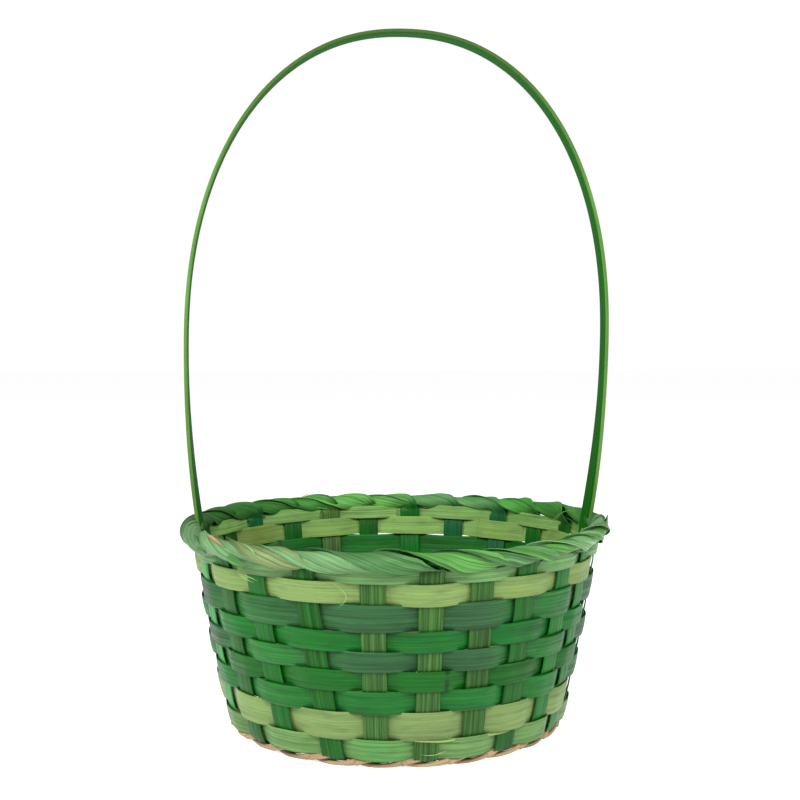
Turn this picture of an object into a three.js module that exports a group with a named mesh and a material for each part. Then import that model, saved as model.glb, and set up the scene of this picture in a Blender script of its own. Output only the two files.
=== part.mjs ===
// A round handled basket, woven from dyed wood splints on a natural bamboo base.
// Units are millimetres and +Z is up. The origin is the centre of the underside.
// The handle stands in the XZ plane, with one leg tucked behind the stake at each end of the X axis.

import * as THREE from 'three';

// ---------------------------------------------------------------- driving dimensions

// Clearance left between splints that lie on each other.
const GAP = 0.35;

// Upright splints. Their count is even, so that the plain weave closes.
const STAKE_COUNT = 24;
const STAKE_WIDTH = 13;
const STAKE_THICKNESS = 0.9;

// Wall: centreline radii of the stakes at the foot and under the rim, and how far it bows out between.
const FOOT_RADIUS = 97;
const TOP_RADIUS = 115.6;
const WALL_BOW = 1.1;
const FOOT_BEND = 2.6;

// Horizontal splints, from the bottom row to the top one.
const WEAVER_WIDTHS = [10.3, 14.9, 11.5, 10.5, 10.4, 10.4, 14.3, 11.2, 4.0];
const WEAVER_THICKNESS = 0.7;
const ROW_GAP = 0.3;

// Rim: the stakes' ends roll round a core hoop as a helix that rises inside and falls outside.
const ROLL_RADIUS = 5;
const ROLL_OVERHANG = 2.3;
const ROLL_RISE = 5.8;
const ROLL_PITCH_ANGLE = THREE.MathUtils.degToRad(21);
const ROLL_START = THREE.MathUtils.degToRad(190);
const ROLL_END = THREE.MathUtils.degToRad(-62);
const ROLL_BAND_GAP = 0.6;
const TURN_RADIUS = 8;

// Handle: one bent strip of split bamboo. The arch is a superellipse above its widest level.
const HANDLE_WIDTH = 14;
const HANDLE_THICKNESS = 2.3;
const HANDLE_HEIGHT = 398;
const HANDLE_HALF_SPAN = 122;
const HANDLE_WIDEST_LEVEL = 220;
const HANDLE_ARCH_POWER = 2.2;
const HANDLE_LEG_BOTTOM = 24;
const HANDLE_SPLAY = 0.22;

// Natural bamboo base: two twined strands round the edge, a woven mat and a hoop that holds the feet down.
const STRAND_WIDTH = 3.1;
const STRAND_THICKNESS = 2.1;
const MAT_STRIP_WIDTH = 18;
const MAT_STRIP_GAP = 4;
const MAT_STRIP_THICKNESS = 0.9;
const BASE_HOOP_WIDTH = 6;
const BASE_HOOP_THICKNESS = 1.2;
const FOOT_SIDE_GAP = 1.2;

// ---------------------------------------------------------------- sizes that follow from them

const TURN = 2 * Math.PI;
const STAKE_STEP = TURN / STAKE_COUNT;
const HALF_STAKE = STAKE_THICKNESS / 2;
const HALF_WEAVER = WEAVER_THICKNESS / 2;
const SIDE_CLEARANCE = 2 * GAP;

const footLevel = STRAND_THICKNESS + GAP + HALF_STAKE;
const wallBottom = footLevel + FOOT_BEND;
const rowsBottom = wallBottom - GAP;
const rows = stackRows(rowsBottom);
const wallTop = rows[rows.length - 1].top + GAP;

const rollCentre = new THREE.Vector2(TOP_RADIUS + ROLL_OVERHANG, wallTop + ROLL_RISE);
const rollBandStep = rollCentre.x * STAKE_STEP * Math.sin(ROLL_PITCH_ANGLE);
const rollBandWidth = Math.min(STAKE_WIDTH, rollBandStep - ROLL_BAND_GAP);
// The band is faceted, so the core stays inside the chord across half a band.
const rollChordAngle = (rollBandWidth / 2) * Math.cos(ROLL_PITCH_ANGLE) / ROLL_RADIUS;
const coreRadius = (ROLL_RADIUS - HALF_STAKE) * Math.cos(rollChordAngle / 2) - 1.5 * GAP;

const footInnerRadius = STAKE_COUNT * (STAKE_WIDTH + FOOT_SIDE_GAP) / TURN;
const outerStrandRadius = FOOT_RADIUS - FOOT_BEND - GAP - STRAND_WIDTH / 2 - GAP;
const innerStrandRadius = outerStrandRadius - STRAND_WIDTH - GAP;
const matRadius = innerStrandRadius - STRAND_WIDTH / 2 - 2 * GAP;

// Places each row of weaving on the one below it.
function stackRows(bottom) {
  let level = bottom;
  return WEAVER_WIDTHS.map((width) => {
    const row = { bottom: level, top: level + width };
    level += width + ROW_GAP;
    return row;
  });
}

// ---------------------------------------------------------------- the wall's section, as (radius, height)

// Centreline of the wall at a height.
function wallAt(z) {
  const t = (z - wallBottom) / (wallTop - wallBottom);
  const r = THREE.MathUtils.lerp(FOOT_RADIUS, TOP_RADIUS, t) + 4 * WALL_BOW * t * (1 - t);
  return new THREE.Vector2(r, z);
}

// Rate at which the wall's radius grows with height.
function wallSlope(z) {
  const height = wallTop - wallBottom;
  const t = (z - wallBottom) / height;
  return (TOP_RADIUS - FOOT_RADIUS + 4 * WALL_BOW * (1 - 2 * t)) / height;
}

// A point on the wall moved outwards along the wall's normal.
function offWall(z, distance) {
  const normal = new THREE.Vector2(1, -wallSlope(z)).normalize();
  return wallAt(z).addScaledVector(normal, distance);
}

function rollPoint(angle) {
  return new THREE.Vector2(Math.cos(angle), Math.sin(angle)).multiplyScalar(ROLL_RADIUS).add(rollCentre);
}

// A stake's whole section: foot, bend, wall, neck under the rim, and the roll round the core.
function stakeSection() {
  const wallStart = wallAt(wallBottom);
  const wallEnd = wallAt(wallTop);
  const rollStart = rollPoint(ROLL_START);
  const up = new THREE.Vector2(wallSlope(wallTop), 1).normalize();
  const intoRoll = new THREE.Vector2(Math.sin(ROLL_START), -Math.cos(ROLL_START));
  const neck = wallEnd.distanceTo(rollStart) / 3;
  const bendStart = new THREE.Vector2(FOOT_RADIUS - FOOT_BEND, footLevel);
  const bendCorner = new THREE.Vector2(wallStart.x - FOOT_BEND * wallSlope(wallBottom), footLevel);
  const wallMiddle = new THREE.Vector2(
    (wallStart.x + wallEnd.x) / 2 + 2 * WALL_BOW,
    (wallStart.y + wallEnd.y) / 2,
  );
  const pieces = {
    foot: new THREE.LineCurve(new THREE.Vector2(footInnerRadius, footLevel), bendStart),
    bend: new THREE.QuadraticBezierCurve(bendStart, bendCorner, wallStart),
    wall: new THREE.QuadraticBezierCurve(wallStart, wallMiddle, wallEnd),
    neck: new THREE.CubicBezierCurve(
      wallEnd,
      wallEnd.clone().addScaledVector(up, neck),
      rollStart.clone().addScaledVector(intoRoll, -neck),
      rollStart,
    ),
    roll: new THREE.EllipseCurve(
      rollCentre.x, rollCentre.y, ROLL_RADIUS, ROLL_RADIUS, ROLL_START, ROLL_END, true,
    ),
  };
  const path = new THREE.CurvePath();
  const ends = {};
  for (const [name, piece] of Object.entries(pieces)) {
    path.add(piece);
    ends[name] = path.getLength();
  }
  return { path, ends, length: path.getLength() };
}

// ---------------------------------------------------------------- solids from rows of points

// A closed solid from a grid of facing point pairs: grid[i][j] = { front, back }.
// Rows run along the splint and columns across it; a loop joins the last row to the first.
function splintSolid(grid, loop = false) {
  const columns = grid[0].length;
  const positions = [];
  const indices = [];
  for (const row of grid) {
    for (const pair of row) {
      positions.push(...pair.front.toArray(), ...pair.back.toArray());
    }
  }
  const at = (i, j, back) => 2 * ((i % grid.length) * columns + j) + back;
  const quad = (a, b, c, d) => indices.push(a, b, c, a, c, d);
  const spans = loop ? grid.length : grid.length - 1;
  for (let i = 0; i < spans; i += 1) {
    for (let j = 0; j < columns - 1; j += 1) {
      quad(at(i, j, 0), at(i, j + 1, 0), at(i + 1, j + 1, 0), at(i + 1, j, 0));
      quad(at(i, j, 1), at(i + 1, j, 1), at(i + 1, j + 1, 1), at(i, j + 1, 1));
    }
    const last = columns - 1;
    quad(at(i, 0, 0), at(i + 1, 0, 0), at(i + 1, 0, 1), at(i, 0, 1));
    quad(at(i, last, 0), at(i, last, 1), at(i + 1, last, 1), at(i + 1, last, 0));
  }
  if (!loop) {
    const end = grid.length - 1;
    for (let j = 0; j < columns - 1; j += 1) {
      quad(at(0, j, 0), at(0, j, 1), at(0, j + 1, 1), at(0, j + 1, 0));
      quad(at(end, j, 0), at(end, j + 1, 0), at(end, j + 1, 1), at(end, j, 1));
    }
  }
  return closedGeometry(positions, indices);
}

// Turns the faces outwards if the rows ran the other way, then makes the geometry.
function closedGeometry(positions, indices) {
  const corner = (n) => new THREE.Vector3().fromArray(positions, 3 * indices[n]);
  let volume = 0;
  for (let n = 0; n < indices.length; n += 3) {
    volume += corner(n).dot(corner(n + 1).cross(corner(n + 2)));
  }
  if (volume < 0) {
    for (let n = 0; n < indices.length; n += 3) {
      [indices[n], indices[n + 1]] = [indices[n + 1], indices[n]];
    }
  }
  const geometry = new THREE.BufferGeometry();
  geometry.setAttribute('position', new THREE.Float32BufferAttribute(positions, 3));
  geometry.setIndex(indices);
  geometry.computeVertexNormals();
  return geometry;
}

// A point of the round basket from its section point and its angle round the axis.
function around(section, angle) {
  return new THREE.Vector3(section.x * Math.cos(angle), section.x * Math.sin(angle), section.y);
}

// A pair of facing points either side of a section point, along the section's normal.
function facingPair(point, normal, angle, halfThickness) {
  return {
    front: around(point.clone().addScaledVector(normal, halfThickness), angle),
    back: around(point.clone().addScaledVector(normal, -halfThickness), angle),
  };
}

// ---------------------------------------------------------------- stakes

// The line a stake's centre follows on the developed surface: straight up, a turn, then the helix.
function stakeLine(distance, turnStart) {
  const turnAngle = Math.PI / 2 - ROLL_PITCH_ANGLE;
  const turnLength = TURN_RADIUS * turnAngle;
  const turned = THREE.MathUtils.clamp(distance - turnStart, 0, turnLength);
  const lean = turned / TURN_RADIUS;
  const straight = Math.max(distance - turnStart - turnLength, 0);
  return {
    side: TURN_RADIUS * (1 - Math.cos(lean)) + straight * Math.sin(lean),
    along: Math.min(distance, turnStart) + TURN_RADIUS * Math.sin(lean) + straight * Math.cos(lean),
    lean,
    turnLength,
  };
}

function stakeGeometry(index) {
  const { path, ends, length } = stakeSection();
  const turnStart = ends.wall - 2 * GAP;
  const { turnLength } = stakeLine(0, turnStart);
  const turnEnd = turnStart + turnLength;
  const helixStart = stakeLine(turnEnd, turnStart).along;
  const helixLength = (length - helixStart) / Math.sin(ROLL_PITCH_ANGLE);
  const skew = 1 / Math.tan(ROLL_PITCH_ANGLE);
  const turnSteps = 3;
  const wallSteps = 4;
  const helixSteps = 8;

  const stations = [0, ends.foot, (ends.foot + ends.bend) / 2];
  for (let n = 0; n <= wallSteps; n += 1) {
    stations.push(THREE.MathUtils.lerp(ends.bend, turnStart, n / wallSteps));
  }
  for (let n = 1; n <= turnSteps; n += 1) {
    stations.push(turnStart + turnLength * n / turnSteps);
  }
  const helix = Array.from({ length: helixSteps }, (_, n) => (n + 1) / helixSteps);

  // One row of pairs. The end of the splint is cut level, so its edges run on by different lengths.
  const row = (distance, share) => {
    const line = stakeLine(distance, turnStart);
    const taper = THREE.MathUtils.smoothstep(distance, turnStart, turnEnd);
    const width = THREE.MathUtils.lerp(STAKE_WIDTH, rollBandWidth, taper);
    return [-width / 2, 0, width / 2].map((offset) => {
      const run = share * offset * skew;
      const side = line.side + run * Math.sin(line.lean);
      const rise = line.along + run * Math.cos(line.lean) - offset * Math.sin(line.lean);
      const u = THREE.MathUtils.clamp(rise / length, 0, 1);
      const point = path.getPointAt(u);
      const tangent = path.getTangentAt(u);
      const normal = new THREE.Vector2(tangent.y, -tangent.x);
      const angle = index * STAKE_STEP + side / rollCentre.x + offset * Math.cos(line.lean) / point.x;
      return facingPair(point, normal, angle, HALF_STAKE);
    });
  };
  const grid = [
    ...stations.map((distance) => row(distance, 0)),
    ...helix.map((share) => row(turnEnd + helixLength * share, share)),
  ];
  return splintSolid(grid);
}

// ---------------------------------------------------------------- handle

// Distance of a leg's centreline inside the stake's, so that the flat leg clears the round wall.
const legSagitta = TOP_RADIUS - Math.sqrt(TOP_RADIUS ** 2 - (HANDLE_WIDTH / 2) ** 2);
const legInset = HALF_STAKE + GAP + legSagitta + HANDLE_THICKNESS / 2;
const legNeckStart = wallTop - 2 * ROLL_RADIUS;
const rollInset = ROLL_RADIUS + HALF_STAKE + GAP + HANDLE_THICKNESS / 2;

// The leg where it stands straight past the rim's inner side.
const legAtRim = new THREE.Vector2(
  rollCentre.x - rollInset * Math.hypot(1, HANDLE_SPLAY) - legSagitta,
  rollCentre.y,
);

// Half of the handle's centreline in the XZ plane, from the foot of the leg to the crown.
function handleHalf() {
  const wallPart = new THREE.SplineCurve(
    [0, 1, 2, 3].map((n) => offWall(THREE.MathUtils.lerp(HANDLE_LEG_BOTTOM, legNeckStart, n / 3), -legInset)),
  );
  const neckStart = offWall(legNeckStart, -legInset);
  const neckReach = (legAtRim.y - neckStart.y) / 3;
  const neck = new THREE.CubicBezierCurve(
    neckStart,
    new THREE.Vector2(neckStart.x + neckReach * wallSlope(legNeckStart), neckStart.y + neckReach),
    new THREE.Vector2(legAtRim.x - neckReach * HANDLE_SPLAY, legAtRim.y - neckReach),
    legAtRim,
  );
  const legReach = (HANDLE_WIDEST_LEVEL - legAtRim.y) / 3;
  const widest = new THREE.Vector2(HANDLE_HALF_SPAN, HANDLE_WIDEST_LEVEL);
  const leg = new THREE.CubicBezierCurve(
    legAtRim,
    new THREE.Vector2(legAtRim.x + legReach * HANDLE_SPLAY, legAtRim.y + legReach),
    new THREE.Vector2(widest.x, widest.y - legReach),
    widest,
  );
  const archHeight = HANDLE_HEIGHT - HANDLE_THICKNESS / 2 - HANDLE_WIDEST_LEVEL;
  const archSteps = 14;
  const arch = Array.from({ length: archSteps }, (_, n) => {
    const angle = (Math.PI / 2) * ((n + 1) / archSteps);
    const power = 2 / HANDLE_ARCH_POWER;
    const cosine = n + 1 === archSteps ? 0 : Math.cos(angle);
    return new THREE.Vector2(
      HANDLE_HALF_SPAN * cosine ** power,
      HANDLE_WIDEST_LEVEL + archHeight * Math.sin(angle) ** power,
    );
  });
  return [
    ...wallPart.getPoints(4),
    ...neck.getPoints(5).slice(1),
    ...leg.getPoints(8).slice(1),
    ...arch,
  ];
}

const handleLine = handleHalf();

// The leg's centreline radius at a height, for the weavers that pass inside it.
function legAt(z) {
  const next = Math.max(handleLine.findIndex((point) => point.y >= z), 1);
  const below = handleLine[next - 1];
  const above = handleLine[next];
  return THREE.MathUtils.mapLinear(z, below.y, above.y, below.x, above.x);
}

function handleGeometry() {
  const left = handleLine.slice(0, -1).map((point) => new THREE.Vector2(-point.x, point.y));
  const line = [...handleLine, ...left.reverse()];
  const grid = line.map((point, n) => {
    const before = line[Math.max(n - 1, 0)];
    const after = line[Math.min(n + 1, line.length - 1)];
    const tangent = after.clone().sub(before).normalize();
    const reach = new THREE.Vector2(tangent.y, -tangent.x).multiplyScalar(HANDLE_THICKNESS / 2);
    return [-HANDLE_WIDTH / 2, HANDLE_WIDTH / 2].map((y) => ({
      front: new THREE.Vector3(point.x + reach.x, y, point.y + reach.y),
      back: new THREE.Vector3(point.x - reach.x, y, point.y - reach.y),
    }));
  });
  return splintSolid(grid);
}

// ---------------------------------------------------------------- weavers

function holdsHandle(stake) {
  return stake % (STAKE_COUNT / 2) === 0;
}

// A weaver goes inside a stake when their numbers differ in parity, counting rows from the top.
function passesInside(row, stake) {
  return (row + stake) % 2 === 1;
}

// Radius of a weaver's corner where it passes a stake. The splint is straight between its corners,
// so an outer corner stands out far enough for the middle of the splint to clear the stake.
function weaverRadius(row, rowTop, stake, z, halfAngle) {
  const stakeRadius = wallAt(z).x;
  const reach = (HALF_STAKE + GAP + HALF_WEAVER) * Math.hypot(1, wallSlope(z));
  if (!passesInside(row, stake)) {
    return (stakeRadius + reach) / Math.cos(halfAngle);
  }
  const overLeg = holdsHandle(stake) && rowTop > HANDLE_LEG_BOTTOM - GAP;
  if (overLeg) {
    return (legAt(z) - HANDLE_THICKNESS / 2 - GAP - HALF_WEAVER - GAP) / Math.cos(halfAngle);
  }
  return stakeRadius - reach;
}

function weaverGeometry(row, { bottom, top }) {
  const grid = [];
  for (let stake = 0; stake < STAKE_COUNT; stake += 1) {
    const held = holdsHandle(stake) ? Math.max(STAKE_WIDTH, HANDLE_WIDTH) : STAKE_WIDTH;
    const halfAngle = (held / 2 + SIDE_CLEARANCE) / wallAt(bottom).x;
    for (const side of [-1, 1]) {
      const angle = stake * STAKE_STEP + side * halfAngle;
      grid.push([bottom, top].map((z) => {
        const normal = new THREE.Vector2(1, -wallSlope(z)).normalize();
        const point = new THREE.Vector2(weaverRadius(row, top, stake, z, halfAngle), z);
        return facingPair(point, normal, angle, HALF_WEAVER);
      }));
    }
  }
  return splintSolid(grid, true);
}

// ---------------------------------------------------------------- rim core

function rimCoreGeometry() {
  const sides = 6;
  const geometry = new THREE.TorusGeometry(rollCentre.x, coreRadius, sides, 2 * STAKE_COUNT);
  geometry.translate(0, 0, rollCentre.y);
  return geometry;
}

// ---------------------------------------------------------------- natural bamboo base

// A strand that passes under one stake's foot and over the next.
function strandGeometry(radius, parity) {
  const lowLevel = STRAND_THICKNESS / 2;
  const highLevel = footLevel + HALF_STAKE + GAP + STRAND_THICKNESS / 2;
  const halfAngle = (STAKE_WIDTH / 2 + SIDE_CLEARANCE) / (innerStrandRadius - STRAND_WIDTH / 2);
  const grid = [];
  for (let stake = 0; stake < STAKE_COUNT; stake += 1) {
    const level = (stake + parity) % 2 === 0 ? lowLevel : highLevel;
    for (const side of [-1, 1]) {
      const angle = stake * STAKE_STEP + side * halfAngle;
      grid.push([-1, 1].map((edge) => {
        const r = radius + edge * STRAND_WIDTH / 2;
        return {
          front: around(new THREE.Vector2(r, level + STRAND_THICKNESS / 2), angle),
          back: around(new THREE.Vector2(r, level - STRAND_THICKNESS / 2), angle),
        };
      }));
    }
  }
  return splintSolid(grid, true);
}

const matPitch = MAT_STRIP_WIDTH + MAT_STRIP_GAP;
const matReach = Math.floor((matRadius - MAT_STRIP_WIDTH / 2) / matPitch);

// Half the length of a mat strip, from its place across the mat.
function stripHalfLength(place) {
  const outerEdge = Math.abs(place) * matPitch + MAT_STRIP_WIDTH / 2;
  return Math.sqrt(matRadius ** 2 - outerEdge ** 2);
}

// A strip of the plain-woven mat, along X or along Y.
function stripGeometry(place, alongX) {
  const half = stripHalfLength(place);
  const rise = MAT_STRIP_THICKNESS + ROW_GAP;
  const crossings = [];
  for (let other = -matReach; other <= matReach; other += 1) {
    const overlap = MAT_STRIP_WIDTH / 2 + MAT_STRIP_GAP / 4;
    if (Math.abs(other) * matPitch + overlap < half) {
      const low = ((place + other) % 2 === 0) === alongX;
      crossings.push({ centre: other * matPitch, overlap, level: low ? 0 : rise });
    }
  }
  const stations = crossings.flatMap(({ centre, overlap, level }) => [
    { distance: centre - overlap, level },
    { distance: centre + overlap, level },
  ]);
  stations[0].distance = -half;
  stations[stations.length - 1].distance = half;
  const grid = stations.map(({ distance, level }) => [-1, 1].map((edge) => {
    const across = place * matPitch + edge * MAT_STRIP_WIDTH / 2;
    const x = alongX ? distance : across;
    const y = alongX ? across : distance;
    return {
      front: new THREE.Vector3(x, y, level + MAT_STRIP_THICKNESS),
      back: new THREE.Vector3(x, y, level),
    };
  }));
  return splintSolid(grid);
}

function baseHoopGeometry() {
  const inner = footInnerRadius + BASE_HOOP_WIDTH / 2;
  const bottom = footLevel + HALF_STAKE + GAP;
  const profile = [
    [inner, bottom],
    [inner + BASE_HOOP_WIDTH, bottom],
    [inner + BASE_HOOP_WIDTH, bottom + BASE_HOOP_THICKNESS],
    [inner, bottom + BASE_HOOP_THICKNESS],
    [inner, bottom],
  ].map(([r, z]) => new THREE.Vector2(r, z));
  const geometry = new THREE.LatheGeometry(profile, 2 * STAKE_COUNT);
  geometry.rotateX(Math.PI / 2);
  return geometry;
}

// ---------------------------------------------------------------- the assembly

const basket = new THREE.Group();

function addPiece(name, geometry, color, roughness) {
  const material = new THREE.MeshStandardMaterial({ color, roughness, metalness: 0 });
  const mesh = new THREE.Mesh(geometry, material);
  mesh.name = name;
  basket.add(mesh);
}

const STAKE_COLOURS = ['#7c9a3c', '#5f7d3a', '#8da75a', '#4c6b3f', '#6e8c5c', '#93a94a'];
const WEAVER_COLOURS = [
  '#a3ad49', '#b0b055', '#7f9f45', '#8c9d55', '#74885a', '#79a04a', '#5b6b45', '#adb24e', '#8aa645',
];
const NATURAL_BAMBOO = '#cfae7c';
const HANDLE_GREEN = '#7f9a3f';
const SPLINT_ROUGHNESS = 0.65;

const twoDigits = (n) => String(n).padStart(2, '0');

for (let stake = 0; stake < STAKE_COUNT; stake += 1) {
  const colour = STAKE_COLOURS[stake % STAKE_COLOURS.length];
  addPiece(`stake_${twoDigits(stake + 1)}`, stakeGeometry(stake), colour, SPLINT_ROUGHNESS);
}

rows.forEach((row, index) => {
  const fromTop = rows.length - index;
  const geometry = weaverGeometry(fromTop, row);
  addPiece(`weaver_${twoDigits(fromTop)}`, geometry, WEAVER_COLOURS[index], SPLINT_ROUGHNESS);
});

addPiece('rim_core', rimCoreGeometry(), '#5d6f35', SPLINT_ROUGHNESS);
addPiece('handle', handleGeometry(), HANDLE_GREEN, 0.5);

addPiece('base_strand_outer', strandGeometry(outerStrandRadius, 0), NATURAL_BAMBOO, 0.6);
addPiece('base_strand_inner', strandGeometry(innerStrandRadius, 1), NATURAL_BAMBOO, 0.6);
addPiece('base_hoop', baseHoopGeometry(), NATURAL_BAMBOO, 0.6);

for (let place = -matReach; place <= matReach; place += 1) {
  const number = place + matReach + 1;
  addPiece(`mat_strip_x${number}`, stripGeometry(place, true), NATURAL_BAMBOO, 0.6);
  addPiece(`mat_strip_y${number}`, stripGeometry(place, false), NATURAL_BAMBOO, 0.6);
}

export default basket;
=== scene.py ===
"""Builds a handled round basket of dyed wood splints on its fixed frame, with a small studio."""

import math
import random

import bpy
import numpy as np
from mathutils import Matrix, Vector


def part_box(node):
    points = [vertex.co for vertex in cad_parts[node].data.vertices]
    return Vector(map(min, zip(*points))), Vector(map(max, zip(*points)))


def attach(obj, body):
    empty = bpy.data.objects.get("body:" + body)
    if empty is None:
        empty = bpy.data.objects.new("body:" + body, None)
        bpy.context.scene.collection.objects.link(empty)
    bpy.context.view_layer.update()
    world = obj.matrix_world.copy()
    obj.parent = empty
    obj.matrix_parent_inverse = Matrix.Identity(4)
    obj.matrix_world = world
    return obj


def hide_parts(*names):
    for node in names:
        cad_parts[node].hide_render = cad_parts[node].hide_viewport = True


bl_info = {
    "name": "Dyed Splint Basket",
    "version": (1, 0, 0),
    "blender": (4, 5, 0),
    "location": "3D View > Sidebar > Basket",
    "description": "Weaves a handled splint basket on its frame",
    "category": "Add Mesh",
}

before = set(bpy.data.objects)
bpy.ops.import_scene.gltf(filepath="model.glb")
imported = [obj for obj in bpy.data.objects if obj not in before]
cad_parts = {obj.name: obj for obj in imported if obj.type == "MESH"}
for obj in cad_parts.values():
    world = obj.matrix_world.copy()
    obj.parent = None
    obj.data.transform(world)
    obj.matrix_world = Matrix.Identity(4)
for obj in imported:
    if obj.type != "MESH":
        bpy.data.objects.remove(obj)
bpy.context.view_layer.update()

MM = 0.001
STAKES = 24
ROWS = 9
BODY = "root"

# ------------------------------------------------------------------ sizes read from the frame


WALL_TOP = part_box("weaver_01")[1].z
WALL_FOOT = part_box("weaver_09")[0].z
# Corners of a stake's mesh that are this close to its middle plane lie in it.
MIDDLE_REACH = 0.5 * MM


def fitted_wall():
    """Quadratic of the wall's radius against height, from the stake that stands on the Y axis."""
    points = np.array([corner.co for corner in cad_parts["stake_07"].data.vertices], float)
    in_middle = np.abs(points[:, 0]) < MIDDLE_REACH
    in_wall = (points[:, 2] > WALL_FOOT) & (points[:, 2] < WALL_TOP)
    chosen = points[in_middle & in_wall]
    return np.polyfit(chosen[:, 2], chosen[:, 1], 2)


WALL = fitted_wall()
# The top weaver's upper edge is tucked up into the roll, and its lower edge hangs a little lower.
TUCK = 3.3 * MM
TOP_ROW_DROP = 0.5 * MM
ROW_BOXES = [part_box(f"weaver_{row:02d}") for row in range(1, ROWS + 1)]
ROW_TOPS = [high.z for low, high in ROW_BOXES]
ROW_FOOTS = [low.z for low, high in ROW_BOXES]
ROW_TOPS[0] += TUCK
ROW_FOOTS[0] -= TOP_ROW_DROP
ROW_MIDDLES = [(top + foot) / 2 for top, foot in zip(ROW_TOPS, ROW_FOOTS)]
ROW_WIDTHS = [top - foot for top, foot in zip(ROW_TOPS, ROW_FOOTS)]
# The core's section is a hexagon that stands on a flat side.
CORE_LOW, CORE_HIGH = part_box("rim_core")
CORE_RADIUS = (CORE_HIGH.z - CORE_LOW.z) / (2 * math.sin(math.radians(60)))
ROLL_Z = (CORE_HIGH.z + CORE_LOW.z) / 2
ROLL_R = CORE_HIGH.x - CORE_RADIUS
STAKE_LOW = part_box("stake_07")[0]
HANDLE_LOW, HANDLE_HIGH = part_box("handle")
MAT_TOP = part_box("mat_strip_x4")[1].z
HOOP_LOW, HOOP_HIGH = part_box("base_hoop")
# Height of the middle of the stakes' feet.
FOOT_LEVEL = STAKE_LOW.z + 0.45 * MM

# Hand-made irregularity: how many degrees each stake stands off its even place, and how many degrees
# some move sideways for each LEAN_SPAN of height.
STAKE_SHIFT = (0, 4, 4, 4, 5, 5, 4, 2, 1, 1, -1, 0, 0, 3, 3, 2, 3, 4, 4, 3, 1, 1, -2, 0)
STAKE_LEAN = {14: -1.2, 15: -1.8, 16: -2.2, 19: -0.7}
LEAN_SPAN = 50 * MM


# ------------------------------------------------------------------ colours


def linear(hex_colour):
    """Linear RGBA of an sRGB hex colour."""
    channels = [int(hex_colour[n:n + 2], 16) / 255 for n in (1, 3, 5)]
    converted = [c / 12.92 if c <= 0.04045 else ((c + 0.055) / 1.055) ** 2.4 for c in channels]
    return (*converted, 1.0)


def colour_property(label, hex_colour):
    """A colour that the user can change, as a property."""
    return bpy.props.FloatVectorProperty(
        name=label,
        description=f"Dye or natural colour: {label.lower()}",
        subtype="COLOR",
        size=4,
        min=0.0,
        max=1.0,
        default=linear(hex_colour),
    )


def length_property(label, description, millimetres):
    """A length that the user can change, as a property."""
    return bpy.props.FloatProperty(
        name=label,
        description=description,
        default=millimetres * MM,
        min=0.0,
        unit="LENGTH",
        precision=4,
    )


class BasketColours(bpy.types.PropertyGroup):
    """Dyes of the splints and the natural colours of the base."""

    lime: colour_property("Lime", "#627a42")
    top_green: colour_property("Top row green", "#537945")
    inner_lime: colour_property("Inner lime", "#6c9149")
    light_green: colour_property("Light green", "#5a6b40")
    olive_lime: colour_property("Olive lime", "#5d6f33")
    soft_green: colour_property("Soft green", "#4a6e3e")
    grey_green: colour_property("Grey green", "#243d29")
    bright_green: colour_property("Bright green", "#064e17")
    deep_green: colour_property("Deep green", "#044b0a")
    moss: colour_property("Moss", "#233828")
    mid_green: colour_property("Mid green", "#135819")
    olive: colour_property("Olive", "#385523")
    brown_green: colour_property("Brown green", "#244916")
    leaf: colour_property("Leaf", "#094608")
    striped_green: colour_property("Striped green", "#2a4e1c")
    teal_green: colour_property("Teal green", "#054923")
    fresh_green: colour_property("Fresh green", "#03540e")
    pale_green: colour_property("Pale green", "#2a7a33")
    rim_green: colour_property("Rim green", "#39662c")
    rim_grey: colour_property("Rim grey green", "#375e32")
    rim_pale: colour_property("Rim pale green", "#5d8455")
    rim_deep: colour_property("Rim deep green", "#2a5c22")
    handle_face: colour_property("Handle face", "#0a5606")
    handle_edge: colour_property("Handle cut edge", "#4a7030")
    natural: colour_property("Natural bamboo", "#8e7558")
    natural_dark: colour_property("Bamboo node", "#5f4a33")


class BasketSizes(bpy.types.PropertyGroup):
    """Sizes of the splints and of the weave."""

    stake_width: length_property("Stake width", "Width of an upright splint", 12.8)
    stake_thickness: length_property("Stake thickness", "Thickness of an upright splint", 0.8)
    stake_wave: length_property("Stake wave", "How far a stake bends out and in at each row", 0.35)
    weaver_thickness: length_property("Weaver thickness", "Thickness of a horizontal splint", 0.6)
    weaver_wave: length_property("Weaver wave", "How far a weaver swings out and in", 1.65)
    band_width: length_property("Rim band width", "Width of a stake's end on the rim", 13.4)
    band_lift: length_property("Rim band lift", "How far a band's free edge stands over the next", 0.7)
    roll_radius: length_property("Roll radius", "Radius of the rolled rim", 5.1)
    handle_width: length_property("Handle width", "Width of the handle's strip", 14)
    handle_thickness: length_property("Handle thickness", "Thickness of the handle's strip", 2.3)
    handle_lean: length_property("Handle lean", "How far the crown leans sideways", 4.4)
    strand_width: length_property("Strand width", "Width of a natural base strand", 4.2)
    strand_thickness: length_property("Strand thickness", "Thickness of a natural base strand", 2.1)


# ------------------------------------------------------------------ nodes


def add_node(tree, kind, inputs=(), **settings):
    """Adds a node. Inputs are a list or a dict of values, nodes (their first output) or sockets."""
    node = tree.nodes.new(kind)
    for name, value in settings.items():
        setattr(node, name, value)
    pairs = inputs.items() if isinstance(inputs, dict) else enumerate(inputs)
    for key, value in pairs:
        if isinstance(value, bpy.types.Node):
            value = value.outputs[0]
        if isinstance(value, bpy.types.NodeSocket):
            tree.links.new(value, node.inputs[key])
        else:
            node.inputs[key].default_value = value
    return node


SPLINT_TREE = "Splint along a path"
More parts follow.
